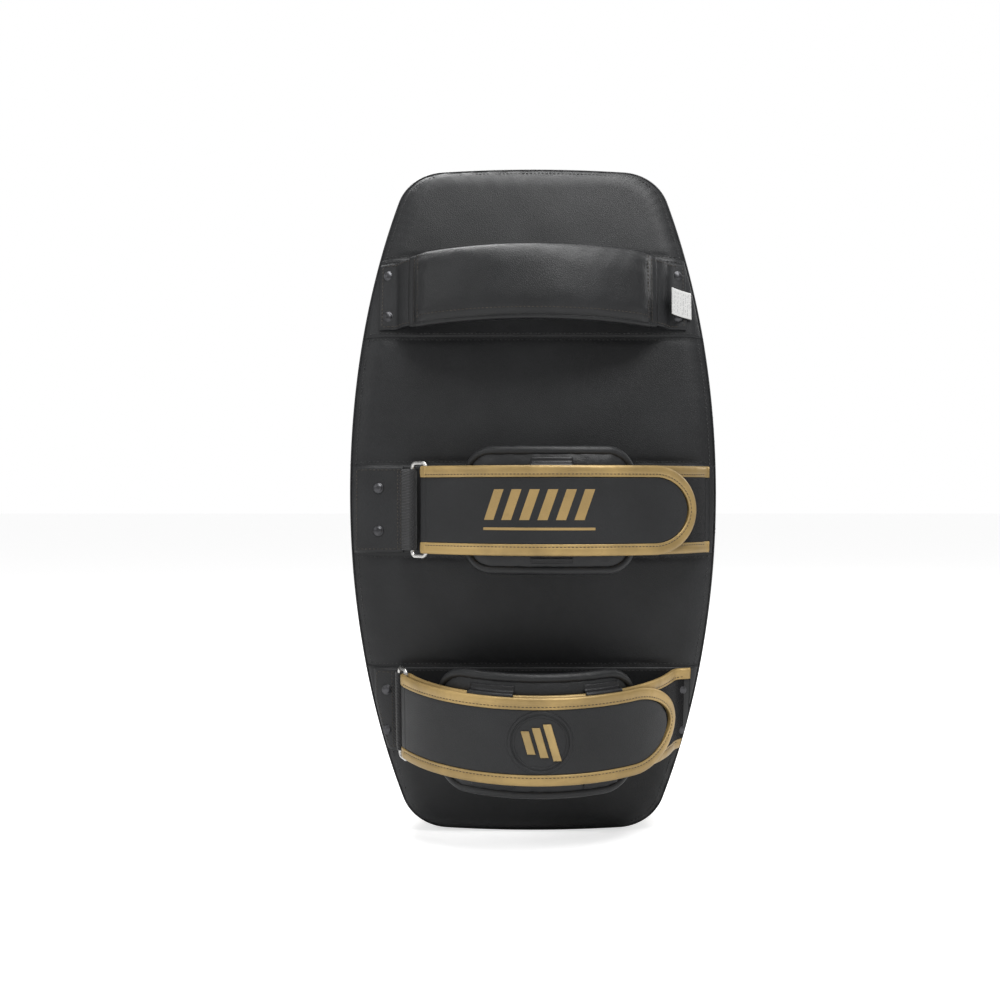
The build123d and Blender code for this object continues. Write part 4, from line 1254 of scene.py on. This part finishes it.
def build_cuff(name, spec, local, c, base_out):
    """Padded sleeve under the strap: a pillow with a rolled edge and keepers over the strap."""
    body = f"{name}_cuff"
    out_r = base_out - STRAP_T - 0.9
    half_t = 6.0
    mid_r = out_r - half_t
    x0, x1 = spec["cuff"]
    cx, half_l = (x0 + x1) / 2, (x1 - x0) / 2
    half_z, corner = 55.0, 25.0
    loop = []
    for qx, qz, a0 in ((1, 1, 90), (1, -1, 0), (-1, -1, -90), (-1, 1, -180)):
        for a in np.radians(np.linspace(a0, a0 - 90, 20)):
            loop.append((qx * (half_l - corner) + corner * math.cos(a),
                         qz * (half_z - corner) + corner * math.sin(a)))
    rim2 = resample(loop, 300, True)
    tan = np.roll(rim2, -1, 0) - np.roll(rim2, 1, 0)
    tan /= np.linalg.norm(tan, axis=1)[:, None]
    inn = np.stack([tan[:, 1], -tan[:, 0]], 1)
    if (inn * rim2).sum() > 0:
        inn = -inn

    def spot(px, pz, h):
        px, pz, h = np.broadcast_arrays(px, pz, h)
        th = np.arccos(np.clip((px + cx - c[0]) / mid_r, -1, 1))
        return local.place(c[0] + (mid_r + h) * np.cos(th), c[1] + (mid_r + h) * np.sin(th), pz)

    def out_dir(px):
        th = np.arccos(np.clip((px + cx - c[0]) / mid_r, -1, 1))
        return local.turn(np.cos(th), np.sin(th))
    rings = 26
    t = np.linspace(0, 1, rings) ** 0.8
    edge = rim2 + inn * 4.2
    reach = half_l - half_z * 0.8
    core = np.stack([np.clip(edge[:, 0], -reach, reach), 0 * edge[:, 1]], 1)
    flat = core[:, None] + (edge - core)[:, None] * t[None, :, None]
    d = np.linalg.norm(edge - core, axis=1)[:, None] * (1 - t)[None, :]
    puff = 1 - (1 - np.clip(d / 15.0, 0, 1)) ** 2.2
    x, z = flat[..., 0], flat[..., 1]
    wr = waves(x, z, 61, 70.0, 3) * np.clip(d / 20, 0, 1)
    pucker = np.exp(-d / 8.0) * (1 - np.exp(-d / 1.2)) * waves(x, z, 63, 13.0, 2)
    flat_zone = 1 - 0.75 * np.clip((STRAP_HALF + 4 - np.abs(z)) / 6.0, 0, 1)
    top = 1.6 + (half_t - 1.9) * puff + (0.35 * wr + 0.5 * pucker) * flat_zone
    low = -1.6 - (half_t + 0.2) * puff - 0.6 * wr - 0.5 * pucker
    upper_pts, lower_pts = spot(x, z, top), spot(x, z, low)
    f_top = grid_faces(300, rings, True)
    pts = np.concatenate([upper_pts.reshape(-1, 3), lower_pts.reshape(-1, 3)])
    off = 300 * rings
    faces = f_top + [[v + off for v in q[::-1]] for q in f_top]
    last = rings - 1
    for i in range(300):
        a, b = i * rings + last, (i + 1) % 300 * rings + last
        faces.append([a, b, b + off, a + off])
    me = mesh_from(pts, faces)
    recalc(me, merge=True)
    pad = link(me, f"{name}_cuff_pad", "cuff", body, "cuff_leather", (f"{name}_cuff_cover",))
    core_pts = [spot(x * 0.95, z * 0.93, h * 0.7).reshape(-1, 3) for h in (top, low)]
    me = mesh_from(np.concatenate(core_pts), faces)
    recalc(me, merge=True)
    link(me, f"{name}_cuff_filling", "foam", body, "foam", (f"{name}_cuff_foam",))
    ring = ring_section(1.0, 1.0, 14)
    path = spot(edge[:, 0], edge[:, 1], 0.0)
    inward = np.roll(path, -1, 0) - np.roll(path, 1, 0)
    up = out_dir(edge[:, 0])
    side = np.cross(inward / np.linalg.norm(inward, axis=1)[:, None], up)
    s = np.arange(300) * 1.1
    size = 4.3 * (1 + 0.035 * waves(s, 0 * s, 65, 16.0, 3))
    sec = ring[None] * size[:, None, None] * np.array([1.0, 1.06])
    p, f = sweep(path, side, up, sec, True)
    me = mesh_from(p, f)
    recalc(me)
    link(me, f"{name}_cuff_roll", "cuff", body, "cuff_leather", (f"{name}_cuff_binding",))
    seam = rim2 + inn * 9.6
    th = spot(seam[:, 0], seam[:, 1], 2.95)
    lines = [stitches(th, out_dir(seam[:, 0]), closed=True, pitch=SEAM_PITCH)]
    th = spot(seam[:, 0], seam[:, 1], -4.6)
    lines.append(stitches(th, -out_dir(seam[:, 0]), closed=True, pitch=SEAM_PITCH))
    link_parts(lines, f"{name}_cuff_stitches", "black_thread", body, "lace_cord")

    # keepers over the strap
    parts = []
    k_r = base_out + 2.1
    drop = k_r - (out_r - 1.2)
    bridge = STRAP_HALF + 1.6
    profile = smooth_corner([(-bridge - 5.5, -drop), (-bridge - 0.6, -drop + 0.4),
                             (-bridge + 0.3, 0.0), (bridge - 0.3, 0.0),
                             (bridge + 0.6, -drop + 0.4), (bridge + 5.5, -drop)], 2.4, 8)
    profile = dense(profile, 1.3)
    tn = np.gradient(profile, axis=0)
    tn /= np.linalg.norm(tn, axis=1)[:, None]
    nn = np.stack([-tn[:, 1], tn[:, 0]], 1)
    section = np.concatenate([profile + nn * 0.55, (profile - nn * 0.55)[::-1]])
    for lo, hi in spec["keepers"]:
        a = np.linspace(math.acos((hi - c[0]) / k_r), math.acos((lo - c[0]) / k_r), 30)
        path = local.place(c[0] + k_r * np.cos(a), c[1] + k_r * np.sin(a), 0 * a)
        up = local.turn(np.cos(a), np.sin(a))
        side = np.tile(local.t, (len(a), 1))
        end = np.minimum(np.arange(len(a)), np.arange(len(a))[::-1])
        pinch = 1 - 0.25 * np.exp(-end / 0.7)
        bulge = 0.35 * (1 - np.exp(-end / 2.0))
        sec = section[None] + np.stack([0 * a, bulge * pinch], 1)[:, None, :]
        parts.append(sweep(path, side, up, sec))
    link_parts(parts, f"{name}_cuff_keeper_bands", "piping", body, "cuff_leather",
               (f"{name}_cuff_keepers",), outward=True)


def raised(path, poly, s0, h0, height, steps=6):
    """A raised convex plate on a strap: rings from its outline in to its middle, with a soft edge."""
    poly = np.asarray(poly, float)
    out = []
    for a, b in zip(poly, np.roll(poly, -1, 0)):
        out += [a + (b - a) * k / steps for k in range(steps)]
    ring = np.array(out)
    mid = poly.mean(0)
    rows = []
    for shrink, h in ((0.0, -0.3), (0.0, height * 0.6), (0.5, height * 0.9), (1.3, height)):
        size = np.linalg.norm(ring - mid, axis=1)[:, None]
        q = mid + (ring - mid) * (1 - np.minimum(shrink / size, 0.8))
        rows.append(path.point(s0 + q[:, 0], q[:, 1], h0 + h))
    q = mid + (ring - mid) * 0.45
    rows.append(path.point(s0 + q[:, 0], q[:, 1], h0 + height))
    n = len(ring)
    faces = grid_faces(len(rows), n, False, True)
    faces.append([(len(rows) - 1) * n + k for k in range(n)])
    faces.append(list(range(n - 1, -1, -1)))
    return np.array(rows).reshape(-1, 3), faces


def build_badge(flap, s0, body):
    """An embossed ring on the strap with three raised gold bars in it."""
    a = np.linspace(0, 2 * math.pi, 120, endpoint=False)
    rings = []
    for radius, tube in ((26.0, 0.95), (22.6, 0.6)):
        sec = ring_section(1.0, 1.0, 10)
        rr = radius + tube * 1.6 * sec[None, :, 0]
        h = STRAP_T / 2 + tube * sec[None, :, 1] + 0 * rr
        pts = flap.point(s0 + rr * np.cos(a)[:, None], rr * np.sin(a)[:, None], h + 0 * a[:, None])
        rings.append((pts, tube_faces(len(a), 10, True)))
    link_parts(rings, "lower_badge_rings", "strap", body, "badge_rubber", outward=True)
    bars = []
    for k, tall in enumerate((20.0, 26.0, 32.0)):
        x = (k - 1) * 10.0
        lean = 0.28 * tall / 2
        quad = [(x - 3.4 + lean, -tall / 2), (x + 3.4 + lean, -tall / 2), (x + 3.4 - lean, tall / 2),
                (x - 3.4 - lean, tall / 2)]
        bars.append(raised(flap, quad, s0, STRAP_T / 2, 1.3))
    link_parts(bars, "lower_badge_bars", "badge", body, "badge_rubber", ("lower_badge",),
               outward=True)


# ---- hand grip ----
def build_grip():
    local = Local(GRIP_A)
    c, r = GRIP_C, GRIP_R
    a_end = math.acos(GRIP_L / r)
    a = np.linspace(a_end, math.pi - a_end, 150)
    s = (a - a[0]) * r
    d = np.minimum(s, s[-1] - s)
    fill = 1 - (1 - np.clip((d - 7.0) / 22.0, 0, 1)) ** 2.4
    half_h = 33.2 - 1.6 * np.exp(-d / 6.0)
    half_t = 2.6 + 11.4 * fill
    half_t = np.minimum(half_t, 1.2 + 1.4 * np.clip(d / 1.2, 0.2, 1) + 12.0 * fill)
    m = 56
    t = np.linspace(0, 2 * math.pi, m, endpoint=False)
    power = 0.62
    cz = np.sign(np.cos(t)) * np.abs(np.cos(t)) ** power
    ch = np.sign(np.sin(t)) * np.abs(np.sin(t)) ** 0.8
    z = half_h[:, None] * cz[None, :]
    h = half_t[:, None] * ch[None, :]
    near = np.exp(-np.abs(d - 12.0) / 16.0)[:, None]
    h = h * (1 + 0.10 * near * waves(s[:, None] * 0.25, z, 71, 9.0, 2)) + 0.5 * fill[:, None] * \
        waves(s[:, None], z, 73, 60.0, 3) * np.sign(h)
    mid = local.place(c[0] + r * np.cos(a), c[1] + r * np.sin(a), 0 * a)
    up = local.turn(np.cos(a), np.sin(a))
    pts = mid[:, None] + up[:, None] * h[..., None] + local.t * z[..., None]
    me = mesh_from(pts, tube_faces(len(a), m, False))
    recalc(me)
    pad = link(me, "handle_grip_pad", "cuff", "pad", "cuff_leather", ("handle_grip_cover",))
    inner = mid[:, None] + up[:, None] * (h * 0.8)[..., None] + local.t * (z * 0.88)[..., None]
    inner = inner[14:-14]
    me = mesh_from(inner, tube_faces(len(inner), m, False))
    recalc(me)
    link(me, "handle_grip_filling", "foam", "pad", "foam", ("handle_grip_foam",))
    lip_h = 3.4 + 5.5 * fill
    lip = mid + up * (lip_h * 0.45)[:, None] - local.t * (half_h - 1.2)[:, None]
    keep = slice(6, -6)
    size = (2.7 * (1 + 0.05 * waves(s, 0 * s, 75, 14.0, 2)))[keep]
    sec = ring_section(1, 1, 12)[None] * size[:, None, None]
    p, f = sweep(lip[keep], np.tile(local.t, (len(a), 1))[keep], up[keep], sec)
    me = mesh_from(p, f)
    recalc(me)
    link(me, "handle_grip_lip", "cuff", "pad", "cuff_leather")
    lines = []
    for k in (5, 10, -11, -6):
        zz = np.linspace(-half_h[k] + 4, half_h[k] - 4, 40)
        q = mid[k] + up[k] * (half_t[k] * 0.97) + local.t * zz[:, None]
        lines.append(stitches(q, np.tile(up[k], (40, 1)), pitch=3.3))
    q = mid + up * (half_t * 0.80)[:, None] - local.t * (half_h * 0.78)[:, None]
    lines.append(stitches(q[10:-10], (up * 0.8 - local.t * 0.6)[10:-10], pitch=SEAM_PITCH))

    # the strap through the grip, down to its feet
    parts = []
    for sgn in (1, -1):
        end = on_arc(c, r, math.degrees(a_end) + 3)
        top = on_arc(c, r, math.degrees(a_end) - 2.0)
        bend_pts = smooth_corner([end, top, (122.0, 12.2), (138.0, 11.6)], 5.0)
        pts2 = np.array(bend_pts) * np.array([sgn, 1.0])
        if sgn > 0:
            pts2 = pts2[::-1]
        path = Path(local, dense(pts2, 0.8))
        p, f = strap_rows(path, np.linspace(0, path.length, 60), lambda s: 31.0, 3.0, 19)
        parts.append((drape(local, p, GRIP_REST), f))
        for zz in (-28.4, 28.4):
            ss = np.linspace(3, path.length - 8, 60)
            q = drape(local, path.point(ss, zz, 1.5), GRIP_REST)
            lines.append(stitches(q, path.normal(ss), pitch=3.4))
        ss = 2.6 if sgn > 0 else path.length - 2.6
        zz = np.linspace(-28, 28, 40)
        q = drape(local, path.point(np.full(40, ss), zz, 1.5), GRIP_REST)
        lines.append(stitches(q, path.normal(np.full(40, ss)), pitch=3.4))
    link_parts(parts, "handle_strap_leather", "strap", "pad", "strap_leather",
               ("handle_strap",), outward=True)
    link_parts(lines, "handle_stitches", "dark_thread", "pad", "lace_cord")


# ---- rivets ----
def build_rivets():
    parts = []
    profile = [(4.6, -0.6), (4.7, 0.2), (4.4, 0.65), (3.9, 0.8), (3.5, 0.9), (3.1, 1.35),
               (2.2, 1.8), (1.1, 2.0)]
    ring = np.linspace(0, 2 * math.pi, 32, endpoint=False)
    places = []
    for name, spec in STRAPS.items():
        places += [(spec["angle"], x, z) for x in spec["rivets"] for z in (-19.0, 19.0)]
    places += [(GRIP_A, x, z) for x in (-130.0, 130.0) for z in (-19.0, 19.0)]
    for angle, x, z in places:
        local = Local(angle)
        y = float(local.floor(x, z)) + BAND_T + 2.75
        rows = [local.place(x + rr * np.cos(ring), y + h, z + rr * np.sin(ring))
                for rr, h in profile]
        n = len(rows)
        faces = grid_faces(n, 32, False, True)
        faces.append([(n - 1) * 32 + k for k in range(32)])
        faces.append(list(range(31, -1, -1)))
        parts.append((np.array(rows).reshape(-1, 3), faces))
    link_parts(parts, "rivet_heads", "rivet", "pad", "rivet_metal", ("rivets",), outward=True)


# ---- care label ----
def build_label():
    local = Local(8.0)
    lean = math.radians(46.0)
    n = 26
    length, width, thick = LABEL
    t = np.linspace(0, length, n)
    turn = lean + np.radians(14.0) * (t / length - 0.5)
    step = length / (n - 1)
    x = -142.5 + np.concatenate([[0], np.cumsum(np.cos(turn[1:]) * step)])
    y = 9.4 + np.concatenate([[0], np.cumsum(np.sin(turn[1:]) * step)])
    path = Path(local, np.stack([x, y], 1)[::-1])
    p, f = strap_rows(path, np.linspace(0, path.length, 30), lambda s: width / 2, thick, 15)
    uv_u = np.repeat(np.linspace(0, length, 30)[:, None], p.shape[1], 1)
    v = (p - local.o) @ local.t
    me = mesh_from(p, f, np.stack([uv_u, v], -1))
    ob = link(me, "care_label_cloth", "label", "label", "label_cloth", ("care_label",))


# ---- laced closure round the bottom ----
def side_point(s, r, h):
    """A place on the side band by length from the bottom middle, radius and height above it."""
    s, r, h = np.broadcast_arrays(s, r, h)
    total = rim_step * N_RIM
    sm = np.mod(s, total)
    ext = np.concatenate([rim_s, [total]])
    look = [np.interp(sm, ext, np.concatenate([arr, arr[:1]])) for arr in
            (rim[:, 0], rim[:, 1], rim_out[:, 0], rim_out[:, 1])]
    x, zeta, ox, oz = look
    v = (r - FRONT_R) / (BACK_R - FRONT_R)
    edge = np.minimum(v, 1 - v) * (BACK_R - FRONT_R)
    bulge = 1.9 * (1 - np.exp(-edge / 9.0)) + h
    a = np.arctan(END_TAN * zeta / HALF_H)
    up = np.stack([0 * a, -np.sin(a), np.cos(a)], -1)
    out = ox[..., None] * np.array([1.0, 0, 0]) + oz[..., None] * up
    return pad_point(x, zeta, r) + out * bulge[..., None], out


def build_closure():
    heights = rim[: N_RIM // 2, 1] + MID_Z
    top = float(np.interp(LACE_TOP, heights, rim_s[: N_RIM // 2]))
    face_top = float(np.interp(FACING_TOP, heights, rim_s[: N_RIM // 2]))
    ends = int(top // LACE_PITCH)

    # facing strips of leather, a folded hem on each side of the laced gap and across the ends
    s = np.linspace(-face_top, face_top, 420)
    inner = np.where(np.abs(s) < top + 4, 10.6, 0.2)
    parts, lines = [], []
    for sgn in (1, -1):
        outer = 28.0
        f = np.linspace(0, 1, 12)
        across = inner[:, None] + (outer - inner)[:, None] * f[None]
        endfall = np.clip(np.minimum(face_top - np.abs(s), 1.2) / 1.2, 0, 1)[:, None]
        lift = 1.3 * np.clip(np.minimum(f, 1 - f) / 0.06, 0, 1)[None] * endfall + 0.5 * endfall * \
            np.exp(-(across - inner[:, None] - 1.6) ** 2 / 3.0) - 0.25
        top_pts, _ = side_point(s[:, None], CLOSURE_R + sgn * across, lift)
        low_pts, _ = side_point(s[:, None], CLOSURE_R + sgn * across[:, ::-1], -1.4 + 0 * across)
        parts.append((np.concatenate([top_pts, low_pts[:, 1:-1]], 1), tube_faces(len(s), 22, False)))
        for off in (14.4, 25.4):
            q, o = side_point(s[6:-6], CLOSURE_R + sgn * off, 1.12)
            lines.append(stitches(q, o, pitch=SEAM_PITCH))
    link_parts(parts, "closure_facing_leather", "cover", "pad", "cover_leather",
               ("closure_facing",), outward=True)

    # two gold tapes, gathered where the lace crosses them
    s = np.linspace(-top, top, 700)
    beat = np.abs(np.sin(math.pi * s / LACE_PITCH)) ** 0.7
    parts = []
    for sgn in (1, -1):
        wide = 6.3 + 3.3 * beat + 0.25 * waves(s, 0 * s, 81 + sgn, 9.0, 2)
        f = np.linspace(0, 1, 14)
        across = 0.45 + (wide - 0.45)[:, None] * f[None]
        arch = np.sin(math.pi * np.clip(f, 0.02, 0.98)) ** 0.55
        endfall = np.clip((top - np.abs(s)) / 2.0, 0, 1)[:, None]
        lift = (0.55 + 1.5 * beat[:, None]) * arch[None] * endfall
        lift = lift + 0.12 * waves(s[:, None], across, 83, 7.0, 2)
        top_pts, _ = side_point(s[:, None], CLOSURE_R + sgn * across, lift)
        low_pts, _ = side_point(s[:, None], CLOSURE_R + sgn * across[:, ::-1], -1.4 + 0 * across)
        parts.append((np.concatenate([top_pts, low_pts[:, 1:-1]], 1), tube_faces(len(s), 26, False)))
    link_parts(parts, "closure_gold_tapes", "gold", "pad", "gold_tape",
               ("closure_tapes",), outward=True)

    # lace: across the tapes, then along beside them to the next crossing
    route = []
    for k in range(-ends, ends + 1):
        side = 1 if k % 2 else -1
        route += [(k * LACE_PITCH, -side * 10.4), (k * LACE_PITCH, side * 10.4)]
    route = smooth_corner(route, 2.6, 7)
    route = dense(route, 0.9)
    over = np.exp(-(route[:, 1] / 8.6) ** 8)
    lift = 0.35 + 1.45 * over
    pts, out = side_point(route[:, 0], CLOSURE_R + route[:, 1], lift)
    tan = np.gradient(pts, axis=0)
    tan /= np.linalg.norm(tan, axis=1)[:, None]
    side = np.cross(out, tan)
    wide = 1.25 + 0.75 * over
    tall = 0.8 + 0.1 * over
    sec = ring_section(1, 1, 10)[None] * np.stack([wide, tall], 1)[:, None, :]
    parts = [sweep(pts, side, out, sec)]
    for sgn in (-1, 1):
        for k, (ds, dr, rad) in enumerate(((2.5, 8.6, 2.6), (5.0, 6.4, 2.3), (1.4, 5.4, 2.1))):
            cpt, o = side_point(np.array([sgn * (ends * LACE_PITCH + ds)]),
                                np.array([CLOSURE_R + dr]), np.array([1.4]))
            u = np.linspace(0.05, math.pi - 0.05, 12)
            w = np.linspace(0, 2 * math.pi, 18, endpoint=False)
            e1 = np.cross(o[0], [0.3, 1, 0.2])
            e1 /= np.linalg.norm(e1)
            e2 = np.cross(o[0], e1)
            ball = cpt[0] + rad * (np.sin(u)[:, None, None] * (np.cos(w)[None, :, None] * e1
                                   + np.sin(w)[None, :, None] * e2) * (1.15 if k else 0.9)
                                   + np.cos(u)[:, None, None] * o[0] * 0.75)
            parts.append((ball, tube_faces(12, 18, False)))
    link_parts(parts, "closure_lace_cord", "lace", "pad", "lace_cord",
               ("closure_lace",), outward=True)
    link_parts(lines, "closure_stitches", "black_thread", "pad", "lace_cord")


build_cover()
build_foam()
build_seams()
build_back_bands()
for strap_name, strap_spec in STRAPS.items():
    build_strap(strap_name, strap_spec)
build_grip()
build_rivets()
build_label()
build_closure()

repaint("rivet_washers", "rivet")
